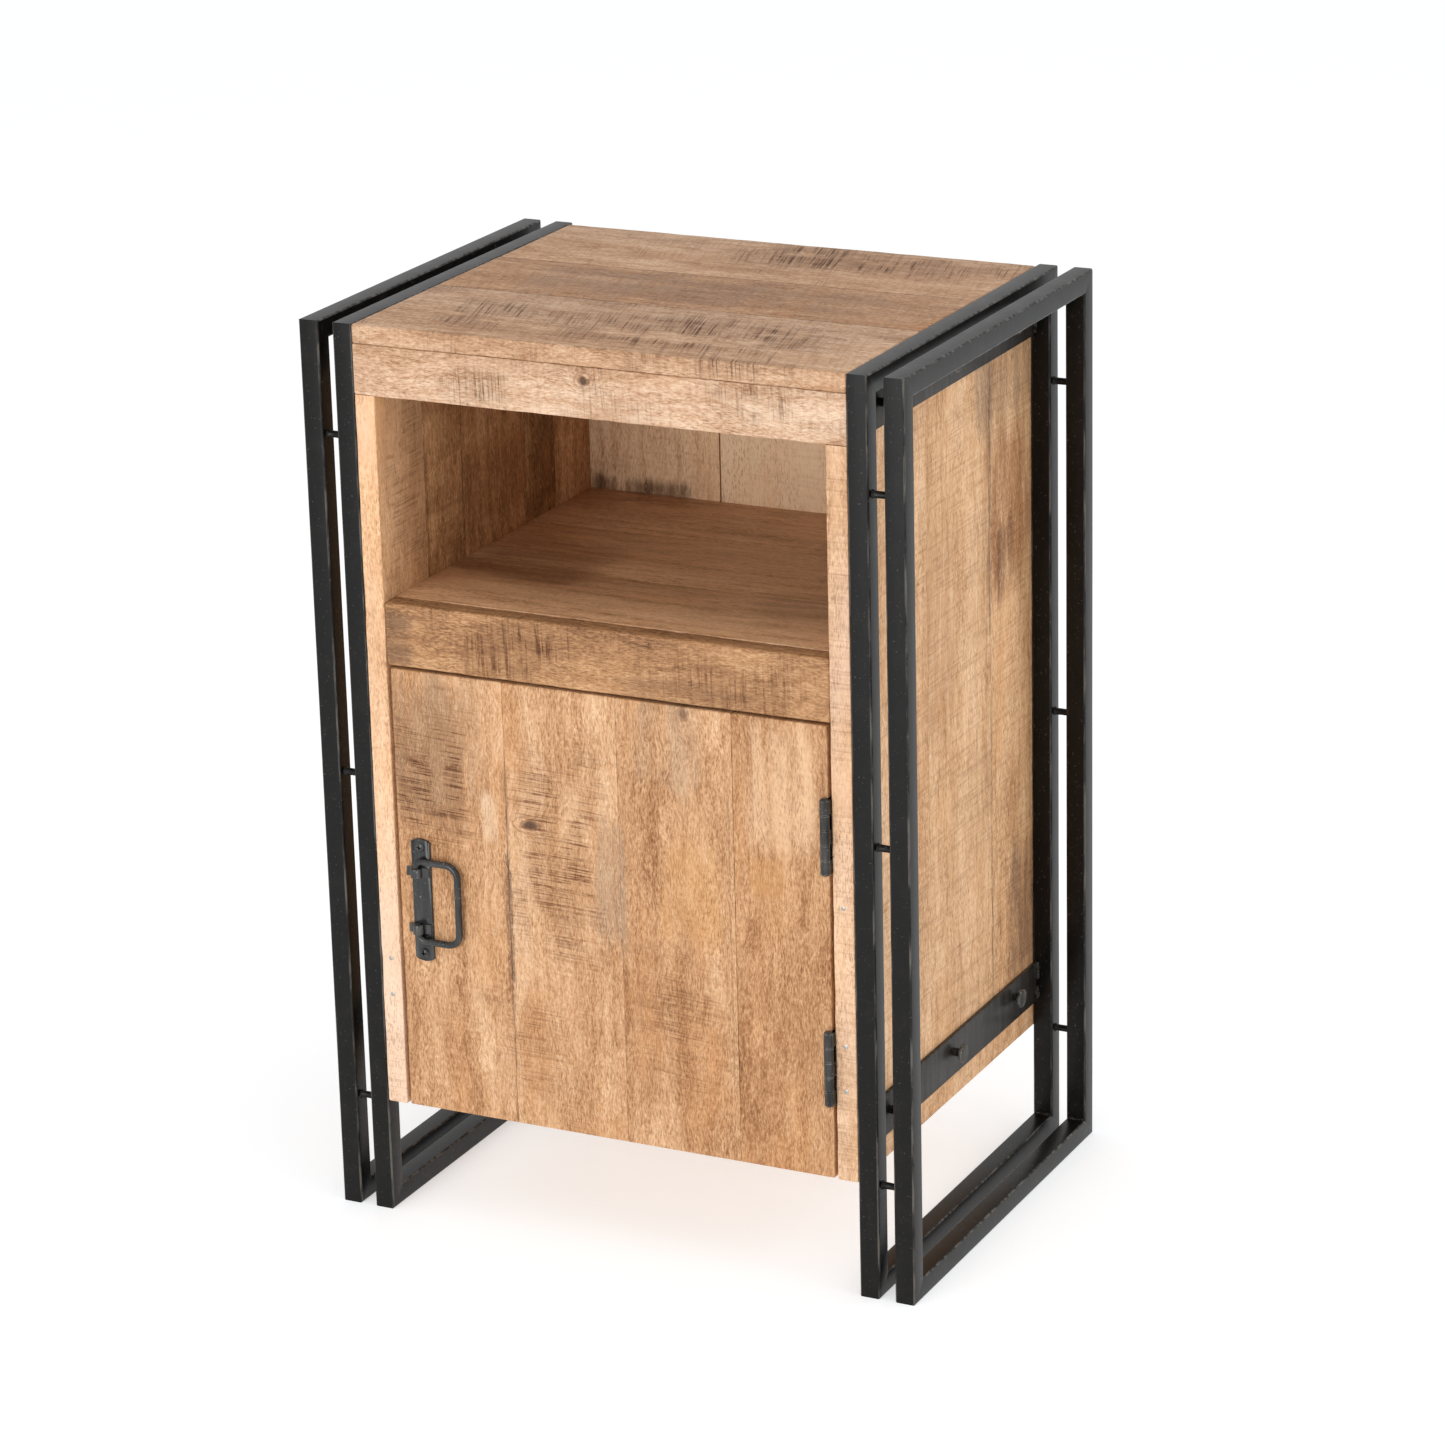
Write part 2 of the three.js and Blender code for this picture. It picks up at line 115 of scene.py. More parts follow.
class Finish:
    """A material under way: its node tree, and the one method that adds any node to it."""

    def __init__(self, name):
        self.material = bpy.data.materials.new(name)
        self.material.use_nodes = True
        self.tree = self.material.node_tree
        self.shader = self.tree.nodes["Principled BSDF"]

    def add(self, kind, settings, sockets, out=0):
        node = self.tree.nodes.new(kind)
        for name, value in settings.items():
            if name == "stops":
                self._set_stops(node.color_ramp, value)
            else:
                setattr(node, name, value)
        for name, value in sockets.items():
            self.join(node.inputs[name], value)
        return Field(self, node.outputs[out])

    def _set_stops(self, ramp, stops):
        while len(ramp.elements) < len(stops):
            ramp.elements.new(1.0)
        for element, (place, colour) in zip(ramp.elements, stops):
            element.position = place
            element.color = (*colour, 1.0)

    def join(self, socket, value):
        if isinstance(value, Field):
            self.tree.links.new(value.socket, socket)
        elif isinstance(value, tuple) and len(value) == 3 and socket.type == "RGBA":
            socket.default_value = (*value, 1.0)
        else:
            socket.default_value = value

    def set(self, **values):
        """Sets the shader's own sockets: base_color becomes Base Color."""
        for name, value in values.items():
            label = name.replace("_", " ").title().replace("Ior", "IOR")
            self.join(self.shader.inputs[label], value)

    # ---- fields that many finishes share

    def attribute(self, name):
        return self.add("ShaderNodeAttribute", {"attribute_name": name}, {}, out="Vector")

    def place(self):
        return self.add("ShaderNodeTexCoord", {}, {}, out="Object")

    def parts(self, vector):
        node = self.add("ShaderNodeSeparateXYZ", {}, {0: vector}).socket.node
        return [Field(self, output) for output in node.outputs]

    def vector(self, x, y, z):
        return self.add("ShaderNodeCombineXYZ", {}, {0: x, 1: y, 2: z})

    def scaled(self, vector, factors):
        return self.add("ShaderNodeVectorMath", {"operation": "MULTIPLY"}, {0: vector, 1: factors})

    def moved(self, vector, offset):
        return self.add("ShaderNodeVectorMath", {"operation": "ADD"}, {0: vector, 1: offset})

    def clouds(self, vector, factors, detail, roughness=0.5):
        sockets = {"Vector": self.scaled(vector, factors), "Scale": 1.0}
        sockets.update({"Detail": detail, "Roughness": roughness})
        return self.add("ShaderNodeTexNoise", {}, sockets)

    def mixed(self, amount, first, second, blend="MIX"):
        """Goes by socket number, because a Mix node's sockets for other types share the names."""
        settings = {"data_type": "RGBA", "blend_type": blend, "clamp_factor": True}
        factor, colour_a, colour_b, colour_out = 0, 6, 7, 2
        sockets = {factor: amount, colour_a: first, colour_b: second}
        return self.add("ShaderNodeMix", settings, sockets, out=colour_out)

    def bump(self, height, distance, strength=1.0):
        sockets = {"Height": height, "Distance": distance, "Strength": strength}
        self.set(normal=self.add("ShaderNodeBump", {}, sockets))


def shade(hex_code):
    """A display colour as linear light."""
    channels = [int(hex_code[i : i + 2], 16) / 255 for i in (0, 2, 4)]
    return tuple(c / 12.92 if c <= 0.04045 else ((c + 0.055) / 1.055) ** 2.4 for c in channels)


# ------------------------------------------------------------------ finishes: wood


# What open pores, blade lines and scorched saw marks leave of the light, and a lighter scorching.
PORE_SHADE = (0.46, 0.37, 0.29)
BLADE_SHADE = (0.50, 0.42, 0.35)
SCORCH_SHADE = (0.27, 0.20, 0.16)
LIGHT_CHAR = (0.40, 0.29, 0.215)
TOP_CHAR = (0.33, 0.25, 0.19)

# How often in a metre each part of the figure changes: along the grain, across it and through it.
SWAY = (3.0, 7.0, 7.0)
RIPPLE = (24.0, 30.0, 30.0)
BANDS = (3.4, 15.0, 15.0)
STREAKS = (13.0, 78.0, 78.0)
THREADS = (62.0, 340.0, 340.0)
CRINKLES = (230.0, 560.0, 560.0)
HONEY_DRIFT = (5.0, 13.0, 13.0)
PORES = (170.0, 1000.0, 1000.0)
PORE_CROWDS = (11.0, 42.0, 42.0)
BLADE_WOBBLE = (5.0, 9.0, 9.0)
SAW_PATCHES = (9.0, 16.0, 16.0)
SCORCH_RAGS = (16.0, 30.0, 30.0)
KNOT_RAGS = (120.0, 120.0, 120.0)
UNSCALED = (1.0, 1.0, 1.0)
GROWTH_LINE = 0.0105

KNOT_RING_BROWN = shade("7a5236")
KNOT_CORE_BROWN = shade("4d3322")
ZONE_FADE = 0.33


def sawn_wood(name, pale, tan, brown, saw, kerf, gloss=0.6, curl=1.0, rings=0.07, slant=0.04,
              contrast=1.0, pitch=300.0, stroke=46.0, char=SCORCH_SHADE, knots=(), stains_and_shade=(), scorches=(),
              smooth=False):
    """Mango wood. Each board carries two attributes: its grain, X along the grain, Y across the
    board from the heart of the tree and Z through it, and its tone, warmth and saw-mark amount.
    Saw is how dark the scorched saw marks are, and kerf how plain the blade's even lines are. Pitch
    is how many such lines come in a metre, and stroke how many strokes a scorched one breaks into.
    Slant leans both off the square, and char is the shade of the scorching."""
    wood = Finish(name)
    straight = wood.attribute("grain")
    tone, warmth, marks = wood.parts(wood.attribute("board"))
    spot = wood.place()
    deep = tuple(c * 0.42 for c in brown)

    # The fibres wander from the straight, and flow round the knots.
    sway = wood.clouds(straight, SWAY, detail=2.0) - 0.5
    ripple = wood.clouds(straight, RIPPLE, detail=2.0, roughness=0.6) - 0.5
    bend = sway * 0.034 + ripple * 0.0085 * curl
    knot_core, knot_ring = None, None
    for centre, radii, strength in knots:
        away = wood.scaled(wood.moved(spot, tuple(-c for c in centre)), tuple(1.0 / r for r in radii))
        length = wood.add("ShaderNodeVectorMath", {"operation": "LENGTH"}, {0: away}, out="Value")
        ragged = length + (wood.clouds(spot, KNOT_RAGS, detail=3.0) - 0.5) * 1.3
        bend = bend + length.step(3.6, 0.2) * 0.006 * strength
        core = ragged.step(1.1, 0.3) * strength
        whorl = (ragged * 9.0).sine().step(0.25, 1.0) * ragged.step(2.6, 0.9) * strength * 0.55
        knot_core = core if knot_core is None else knot_core.most(core)
        knot_ring = whorl if knot_ring is None else knot_ring.most(whorl)
    grain = wood.moved(straight, wood.vector(0.0, bend, bend * 0.6))
    _, across, through = wood.parts(grain)

    # Bands of colour, then streaks, then single fibres; faint growth lines run among them.
    broad = wood.clouds(grain, BANDS, detail=4.0, roughness=0.55) - 0.5
    streaks = wood.clouds(grain, STREAKS, detail=3.0, roughness=0.6) - 0.5
    threads = wood.clouds(grain, THREADS, detail=3.0, roughness=0.75) - 0.5
    reach = (across * across + through * through).root() + broad * 0.03
    growth = (reach * (2 * math.pi / GROWTH_LINE)).sine().step(0.35, 1.0) - 0.3
    crinkle = wood.clouds(grain, CRINKLES, detail=2.0, roughness=0.6) - 0.5
    fine = threads * 0.70 + crinkle * 0.75
    figure = (broad * 0.72 + streaks * 0.58 + fine) * contrast + growth * rings - tone * 0.16 + 0.45
    stops = [(0.16, pale), (0.44, tan), (0.74, brown), (1.0, deep)]
    colour = wood.add("ShaderNodeValToRGB", {"stops": stops}, {"Fac": figure})
    drift = wood.clouds(grain, HONEY_DRIFT, detail=3.0, roughness=0.6)
    honey = tuple(c * f for c, f in zip(tan, (1.06, 0.88, 0.66)))
    colour = wood.mixed(drift.step(0.50, 0.74) * 0.40 + warmth * 0.4, colour, honey)
    # Tinted zones: stains, and in one place painted shade.
    for low, high, strength, tint, grit in stains_and_shade:
        inside = wood_zone(wood, spot, low, high)
        speck = wood.clouds(grain, grit, detail=3.0, roughness=0.65)
        patch = (inside * 0.5 + speck - 0.5).step(0.20, 0.62)
        colour = wood.mixed(patch * strength, colour, tint)

    # Open pores are short dark dashes along the grain; between them the fibres catch the light.
    dashes = wood.clouds(grain, PORES, detail=1.0)
    crowd = wood.clouds(grain, PORE_CROWDS, detail=2.0).step(0.30, 0.66) * 0.8 + 0.2
    pores = dashes.step(0.54, 0.68) * crowd
    glints = dashes.step(0.42, 0.30) * 0.30
    colour = wood.mixed(pores * (0.5 if smooth else 0.60), colour, PORE_SHADE, "MULTIPLY")
    colour = wood.mixed(glints, colour, tuple(min(1.0, c * 1.12) for c in pale))

    # Even blade lines square to the grain, and darker scorched ones that come in patches.
    wobble = (wood.clouds(straight, BLADE_WOBBLE, detail=1.0) - 0.5) * 0.006
    level, side, _ = wood.parts(straight)
    lean = level + side * slant + wobble
    blade = wood.clouds(wood.vector(lean * pitch, side * 11.0, through * 11.0), UNSCALED, detail=2.0)
    ticks = wood.clouds(wood.vector(lean * pitch * 1.6, side * 9.0, through * 9.0), UNSCALED,
                        detail=3.0, roughness=0.62)
    blots = wood.clouds(wood.vector(lean * 120.0, side * stroke, through * stroke), UNSCALED,
                        detail=3.0, roughness=0.75)
    patches = wood.clouds(straight, SAW_PATCHES, detail=2.0).step(0.50, 0.70) * marks * 0.75
    for low, high, strength in scorches:
        inside = wood_zone(wood, spot, low, high) * strength
        ragged = wood.clouds(straight, SCORCH_RAGS, detail=2.0).step(0.34, 0.58)
        patches = patches.most(inside * ragged)
    broken = blots.step(0.40, 0.60) * 0.70 + 0.30
    burnt = (ticks.step(0.49, 0.60) * 0.95 * broken + blots.step(0.60, 0.72) * 0.35) * patches * saw
    faint = blade.step(0.545, 0.63) * kerf
    colour = wood.mixed((patches * 0.30 * saw).least(0.5), colour, tuple(c * 0.85 for c in brown))
    colour = wood.mixed(faint, colour, BLADE_SHADE, "MULTIPLY")
    colour = wood.mixed(burnt.least(1.0), colour, char, "MULTIPLY")
    if knots:
        colour = wood.mixed(knot_ring.least(0.8), colour, KNOT_RING_BROWN)
        colour = wood.mixed(knot_core.least(0.9), colour, KNOT_CORE_BROWN)

    wood.set(base_color=colour)
    wood.set(roughness=(threads * 0.20 + burnt * 0.15 + gloss).least(0.95))
    wood.set(specular_ior_level=0.30)
    if smooth:
        relief = threads * 0.3 - pores * 0.6
        wood.set(coat_weight=0.20, coat_roughness=0.40)
        wood.bump(relief, 0.00025, 0.7)
    else:
        relief = threads * 0.9 - pores * 0.5 - burnt * 0.8 - faint * 1.2 + blots * 0.3
        wood.bump(relief, 0.0006, 0.75)
    return wood.material


def wood_zone(wood, spot, low, high):
    """1 inside a box and 0 outside it, fading over a third of its width at each side."""
    inside = None
    for value, start, end in zip(wood.parts(spot), low, high):
        if start is None:
            continue
        fade = (end - start) * ZONE_FADE
        window = value.step(start, start + fade) * value.step(end, end - fade)
        inside = window if inside is None else inside * window
    return inside


# ------------------------------------------------------------------ finishes: steel


def black_steel(name, paint, worn, gloss=0.31, bare=0.16, dimple=0.00014, shine=0.19):
    """Thin black paint over steel: faint mottling, rubbed edges with a painted highlight along them, and
    tiny specks.
    """
    steel = Finish(name)
    spot = steel.place()
    mottle = steel.clouds(spot, (38.0, 38.0, 38.0), detail=4.0, roughness=0.6)
    brushed = steel.clouds(spot, (190.0, 190.0, 24.0), detail=3.0, roughness=0.6)
    specks = steel.clouds(spot, (430.0, 430.0, 430.0), detail=1.0).step(0.67, 0.76)
    rubbed = (mottle.step(0.48, 0.76) * 0.6 + brushed.step(0.52, 0.82) * 0.5) * bare
    edge_mask, _, _ = steel.parts(steel.attribute("edge"))
    wear = (rubbed + edge_mask * brushed.step(0.30, 0.62) * 0.70).least(1.0)
    colour = steel.mixed(wear, paint, worn)
    # Painted highlight: along the most worn edges a pale grey is mixed into the colour, partly bare metal
    # and partly the gleam a rounded edge would catch.
    worn_edge_and_highlight = edge_mask.step(0.55, 1.0) * brushed.step(0.44, 0.66)
    colour = steel.mixed(worn_edge_and_highlight * 0.18, colour, shade("a8a49c"))
    colour = steel.mixed(specks * 0.42, colour, tuple(c * 2.6 for c in worn))
    steel.set(base_color=colour)
    steel.set(roughness=mottle * 0.16 + (gloss - 0.08) - wear * 0.06)
    steel.set(specular_ior_level=shine)
    steel.bump(mottle * 1.0 + brushed * 0.5, dimple, 0.8)
    return steel.material


def zinc(name):
    plate = Finish(name)
    spot = plate.place()
    cloud = plate.clouds(spot, (60.0, 60.0, 60.0), detail=3.0)
    scratch = plate.clouds(spot, (900.0, 900.0, 60.0), detail=2.0)
    plate.set(base_color=plate.mixed(cloud, shade("8d8c86"), shade("c2c1ba")))
    plate.set(metallic=0.9, roughness=0.28 + scratch * 0.2)
    plate.bump(scratch, 0.00005)
    return plate.material


def moulded_plastic(name, colour):
    plastic = Finish(name)
    spot = plastic.place()
    cloud = plastic.clouds(spot, (300.0, 300.0, 300.0), detail=3.0)
    darker = tuple(c * 0.8 for c in colour)
    plastic.set(base_color=plastic.mixed(cloud, darker, colour), roughness=cloud * 0.2 + 0.4)
    plastic.bump(cloud, 0.00008)
    return plastic.material


# ------------------------------------------------------------------ meshes: shared makers


def linked(name, data):
    piece = bpy.data.objects.new(name, data)
    scene.collection.objects.link(piece)
    return piece


def settled(source, name):
    """Turns a bmesh into mesh data."""
    mesh = bpy.data.meshes.new(name)
    source.to_mesh(mesh)
    source.free()
    return mesh


def finished(name, source, material, body, replaces, slot, smooth_angle=35.0):
    """A bmesh becomes a named piece that rides on a body and stands for CAD nodes."""
    bmesh.ops.recalc_face_normals(source, faces=source.faces)
    for face in source.faces:
        face.smooth = True
    limit = math.radians(smooth_angle)
    for edge in source.edges:
        edge.smooth = len(edge.link_faces) == 2 and edge.calc_face_angle(0.0) < limit
    mesh = settled(source, name)
    mesh.materials.append(material)
    piece = linked(name, mesh)
    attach(piece, body)
    if replaces:
        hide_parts(*replaces)


def plain_box(low, high):
    mesh = bmesh.new()
    bmesh.ops.create_cube(mesh, size=1.0)
    low, high = Vector(low), Vector(high)
    matrix = Matrix.LocRotScale((low + high) / 2, None, high - low)
    bmesh.ops.transform(mesh, matrix=matrix, verts=mesh.verts)
    return mesh


def cut_away(source, boxes):
    """Takes boxes, each a pair of corners, out of a closed bmesh."""
    if not boxes:
        return source
    target = linked("work", settled(source, "work"))
    tools = []
    for low, high in boxes:
        tool = linked("tool", settled(plain_box(low, high), "tool"))
        tools.append(tool)
        modifier = target.modifiers.new("cut", "BOOLEAN")
        modifier.operation = "DIFFERENCE"
        modifier.solver = "EXACT"
        modifier.object = tool
    bpy.context.view_layer.update()
    shaped = target.evaluated_get(bpy.context.evaluated_depsgraph_get()).to_mesh()
    result = bmesh.new()
    result.from_mesh(shaped)
    for leftover in [target, *tools]:
        data = leftover.data
        bpy.data.objects.remove(leftover)
        bpy.data.meshes.remove(data)
    return result


def rounded_section(half_a, half_b, radii, steps):
    """A rectangle with a radius for each corner, from (+a, +b) counter-clockwise."""
    points = []
    corners = [(1, 1, 0), (-1, 1, 1), (-1, -1, 2), (1, -1, 3)]
    for (sign_a, sign_b, turn), radius in zip(corners, radii):
        for i in range(steps + 1):
            angle = (turn + i / steps) * math.pi / 2
            a = sign_a * (half_a - radius) + radius * math.cos(angle)
            b = sign_b * (half_b - radius) + radius * math.sin(angle)
            points.append((a, b))
    return points


def bridge(mesh, rings, closed=False):
    """Skins a row of equal rings of vertices, and caps the two ends unless the row is closed."""
    count = len(rings[0])
    pairs = list(zip(rings, rings[1:]))
    if closed:
        pairs.append((rings[-1], rings[0]))
    for first, second in pairs:
        for i in range(count):
            j = (i + 1) % count
            mesh.faces.new((first[i], first[j], second[j], second[i]))
    if not closed:
        mesh.faces.new(rings[0])
        mesh.faces.new(tuple(reversed(rings[-1])))


AXES = {"x": Vector((1, 0, 0)), "y": Vector((0, 1, 0)), "z": Vector((0, 0, 1))}


BOARD_STEP = 12 * MM
CORNER_STEPS = 3


def plain_board(low, high, along, across, radii, wear, seed, rounding):
    """A closed board lofted along its grain, its arrises rounded and unevenly worn. The radii are
    those of its four long arrises, and rounding is that of its ends."""
    low, high = Vector(low), Vector(high)
    along_axis, across_axis = AXES[along], AXES[across]
    through_axis = along_axis.cross(across_axis)
    size = high - low
    middle = (high + low) / 2
    length = abs(size.dot(along_axis))
    half_a = abs(size.dot(across_axis)) / 2
    half_b = abs(size.dot(through_axis)) / 2
    # The end's rounding: (distance from the end, how far the section is drawn in).
    stops = []
    for i in range(CORNER_STEPS + 1):
        angle = i / CORNER_STEPS * math.pi / 2
        stops.append((rounding * (1 - math.sin(angle)), rounding * (1 - math.cos(angle))))
    start = stops[::-1]
    count = max(2, int(length / BOARD_STEP))
    inner = [(rounding + (length - 2 * rounding) * i / count, 0.0) for i in range(1, count)]
    finish = [(length - distance, inset) for distance, inset in stops]
    mesh = bmesh.new()
    rings = []
    for place, inset in start + inner + finish:
        section = rounded_section(half_a - inset, half_b - inset, radii, CORNER_STEPS)
        ring = []
        for a, b in section:
            spot = middle + along_axis * (place - length / 2) + across_axis * a + through_axis * b
            edge_a = half_a - abs(a)
            edge_b = half_b - abs(b)
            arris = max(0.0, 1.0 - (edge_a + edge_b) / (2.2 * max(radii)))
            rough = noise.noise(spot * 55.0 + Vector((seed, 0, 0)))
            rough += 0.5 * noise.noise(spot * 160.0 + Vector((0, seed, 0)))
            pull = wear * arris * max(0.0, 0.35 + rough)
            inward = across_axis * (-a / half_a) + through_axis * (-b / half_b)
            ring.append(mesh.verts.new(spot + inward * pull))
        rings.append(ring)
    bridge(mesh, rings)
    return mesh


def mark_grain(mesh, along, across, heart, depth, offset, board):
    """Writes a board's grain and character on its vertices."""
    along_axis, across_axis = AXES[along], AXES[across]
    through_axis = along_axis.cross(across_axis)
    grain = mesh.verts.layers.float_vector.new("grain")
    character = mesh.verts.layers.float_vector.new("board")
    for vert in mesh.verts:
        u = vert.co.dot(along_axis) + offset
        v = vert.co.dot(across_axis) - heart
        w = vert.co.dot(through_axis) + depth
        vert[grain] = Vector((u, v, w))
        vert[character] = Vector((board.tone, board.warmth, board.marks))


def gather(parts):
    """Joins closed bmeshes that carry the same layers into one."""
    whole = bmesh.new()
    for part in parts:
        piece = settled(part, "part")
        whole.from_mesh(piece)
        bpy.data.meshes.remove(piece)
    return whole


class Board:
    """How one board of a glued-up panel is cut: where it ends, and its character."""

    def __init__(self, until, tone=0.0, warmth=0.0, marks=1.0, heart=0.5, depth=0.03):
        self.until = until
        self.tone = tone
        self.warmth = warmth
        self.marks = marks
        self.heart = heart
        self.depth = depth


SEAM = 0.05 * MM
SEAM_ROUND = 0.14 * MM


def panel(name, low, high, along, across, boards, material, body, node, slot, arris=1.8 * MM,
          wear=0.5 * MM, seed=0, cuts=()):
    """A panel glued up from boards side by side; the last board runs to the panel's edge."""
    low, high = Vector(low), Vector(high)
    across_axis = AXES[across]
    index = "xyz".index(across)
    flip = AXES[along].cross(across_axis)
    parts = []
    start = low[index]
    for number, board in enumerate(boards):
        first = number == 0
        last = number == len(boards) - 1
        end = high[index] if last else board.until
        part_low, part_high = low.copy(), high.copy()
        part_low[index] = start if first else start + SEAM / 2
        part_high[index] = end if last else end - SEAM / 2
        outer_high = arris if last else SEAM_ROUND
        outer_low = arris if first else SEAM_ROUND
        radii = (outer_high, outer_low, outer_low, outer_high)
        mesh = plain_board(part_low, part_high, along, across, radii, wear, seed + number, arris)
        near, far = part_low[index], part_high[index]
        mesh = cut_away(mesh, [cut for cut in cuts if cut[0][index] < far and cut[1][index] > near])
        heart = near + (far - near) * board.heart
        drawn = random.Random(seed * 31 + number)
        side = 1.0 if sum(flip) > 0 else -1.0
        face = abs(low.dot(flip)) * side
        mark_grain(mesh, along, across, heart, board.depth - face, drawn.uniform(0, 40), board)
        parts.append(mesh)
        start = end
    finished(name, gather(parts), material, body, (node,), slot)


def with_edge(mesh, wear=0.0):
    """Stores how worn each vertex is, 0 to 1, which on the black steels also places a painted highlight: one
    number, or a function of its place.
    """
    layer = mesh.verts.layers.float_vector.new("edge")
    for vert in mesh.verts:
        vert[layer] = Vector((wear(vert.co) if callable(wear) else wear, 0, 0))
    return mesh


# ------------------------------------------------------------------ materials of this piece

STEEL_PAINT = shade("0d0c0b")
STEEL_WORN = shade("3d3935")

steels = {
    "frame": black_steel("satin_black_frame", STEEL_PAINT, STEEL_WORN),
    "strap": black_steel("satin_black_strap", shade("1a1816"), shade("4a433c"), gloss=0.36, bare=0.20),
    "bolt": black_steel("blackened_bolt", shade("211f1d"), shade("77736b"), gloss=0.34, bare=0.5),
    "hinge": black_steel("black_hinge", shade("101010"), shade("6d6b66"), gloss=0.28, bare=0.34, shine=0.35),
    "handle": black_steel("black_pull", shade("121314"), shade("5a5957"), gloss=0.25, bare=0.34, shine=0.50,
                          dimple=0.00018),
}


def steel_piece(name, source, kind, body, replaces, **options):
    """A finished piece in one of the steels."""
    finished(name, source, steels[kind], body, replaces, f"{kind}_steel", **options)


def spot_in(node, fx, fy, fz):
    """A point inside a CAD node's box, by fractions of its width, depth and height."""
    low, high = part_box(node)
    return tuple(low[i] + (high[i] - low[i]) * f for i, f in enumerate((fx, fy, fz)))


def zone(node, **spans):
    """A box inside a CAD node's box, by fractions, such as x=(0.2, 0.4); an unnamed direction
    stays open."""
    low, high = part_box(node)
    starts, ends = [], []
    for i, axis in enumerate("xyz"):
        start, end = spans.get(axis, (None, None))
        starts.append(None if start is None else low[i] + (high[i] - low[i]) * start)
        ends.append(None if end is None else low[i] + (high[i] - low[i]) * end)
    return tuple(starts), tuple(ends)


# How coarse a tinted patch is, in changes to a metre, as the figure of the wood; most patches are stains,
# and one is painted shade.
WIDE_GRIT = (2, 8, 8)
SHELF_GRIT = (5, 45, 45)
BACK_GRIT = (8, 60, 60)
LONG_GRIT = (6.0, 60.0, 60.0)
FINE_GRIT = (60.0, 260.0, 260.0)


# A tinted patch in a zone of a node: mostly real stains, and on the left back board painted shade.
def stain_and_shade(node, strength, tint, grit=LONG_GRIT, **spans):
    return (*zone(node, **spans), strength, shade(tint), grit)


def scorch(node, strength, **spans):
    return (*zone(node, **spans), strength)


top_wood = sawn_wood(
    "oiled_top_boards", shade("d6b496"), shade("b78f6d"), shade("875c3c"), saw=1.25, kerf=0.16,
    slant=0.26, contrast=0.9, pitch=350.0, stroke=18.0, char=TOP_CHAR,
    scorches=[
        scorch("top_panel", 1.1, x=(0.25, 0.98), y=(0.0, 0.37)),
        scorch("top_panel", 0.9, x=(0.05, 0.40), y=(0.02, 0.34)),
        scorch("top_panel", 1.0, x=(0.30, 1.02), y=(0.76, 1.05)),
    ],
    stains_and_shade=[
        stain_and_shade("top_panel", 0.5, "86664c", x=(-0.1, 1.1), y=(0.36, 0.68)),
        stain_and_shade("top_panel", 0.8, "6b4c36", FINE_GRIT, y=(0.371, 0.380)),
        stain_and_shade("top_panel", 0.8, "6b4c36", FINE_GRIT, y=(0.654, 0.663)),
    ],
)
side_wood = sawn_wood(
    "sawn_side_boards", shade("e6c099"), shade("cb9e72"), shade("9c6c42"), saw=0.9, kerf=0.25,
    curl=0.6, slant=0.0, contrast=0.85, pitch=380.0, char=LIGHT_CHAR,
    scorches=[scorch("side_panel_right", 1.2, y=(-0.1, 0.02), z=(0.0, 0.20)),
              scorch("side_panel_right", 0.8, y=(-0.1, 0.02), z=(0.55, 1.0))],
    stains_and_shade=[
        stain_and_shade("side_panel_right", 0.90, "dbbca6", WIDE_GRIT, y=(-0.12, 0.03)),
        stain_and_shade("side_panel_right", 0.60, "8b735d", y=(0.62, 0.80), z=(0.78, 1.10)),
        stain_and_shade("side_panel_right", 0.75, "86684d", y=(0.62, 1.08), z=(0.76, 1.15)),
        stain_and_shade("side_panel_right", 0.90, "96653d", y=(0.64, 1.04), z=(0.56, 0.92)),
        stain_and_shade("side_panel_right", 0.75, "6b4226", y=(0.75, 0.90), z=(0.57, 0.76)),
        stain_and_shade("side_panel_right", 0.80, "755640", y=(0.76, 1.08), z=(0.02, 0.34)),
        stain_and_shade("side_panel_right", 0.45, "a87a50", y=(0.33, 0.60), z=(0.40, 0.88)),
        stain_and_shade("side_panel_right", 0.70, "6d4f39", FINE_GRIT, y=(0.722, 0.752), z=(0.45, 1.10)),
        stain_and_shade("side_panel_right", 0.55, "7d5f48", FINE_GRIT, y=(0.728, 0.748), z=(-0.1, 0.7)),
    ],
)
left_wood = sawn_wood(
    "brown_side_boards", shade("eec49a"), shade("cfa074"), shade("94693f"), saw=0.6, kerf=0.07, curl=0.8,
    slant=0.0, char=LIGHT_CHAR,
    scorches=[scorch("side_panel_left", 1.0, y=(0.0, 0.24), z=(0.6, 1.0))],
    stains_and_shade=[stain_and_shade("side_panel_left", 0.6, "6b4527", FINE_GRIT, y=(0.195, 0.215), z=(-0.1, 1.1)),
            stain_and_shade("side_panel_left", 0.6, "5f3d22", FINE_GRIT, y=(0.36, 0.375), z=(-0.1, 1.1)),
            stain_and_shade("side_panel_left", 0.6, "5f3d22", FINE_GRIT, y=(0.65, 0.665), z=(-0.1, 1.1)),
            stain_and_shade("side_panel_left", 1.0, "e6c8b0", WIDE_GRIT, y=(-0.12, 0.03))],
)
rail_wood = sawn_wood(
    "pale_front_rail", shade("dcbfa4"), shade("c29c7d"), shade("946b47"), saw=0.95, kerf=0.13,
    knots=[(spot_in("top_front_rail", 0.479, 0.0, 0.74), (0.006, 0.2, 0.005), 1.0)],
    scorches=[
        scorch("top_front_rail", 1.2, x=(0.70, 1.02), z=(0.1, 1.3)),
        scorch("top_front_rail", 1.0, x=(0.18, 0.36), z=(0.0, 0.9)),
        scorch("top_front_rail", 0.6, x=(0.40, 0.66), z=(-0.2, 0.6)),
    ],
)
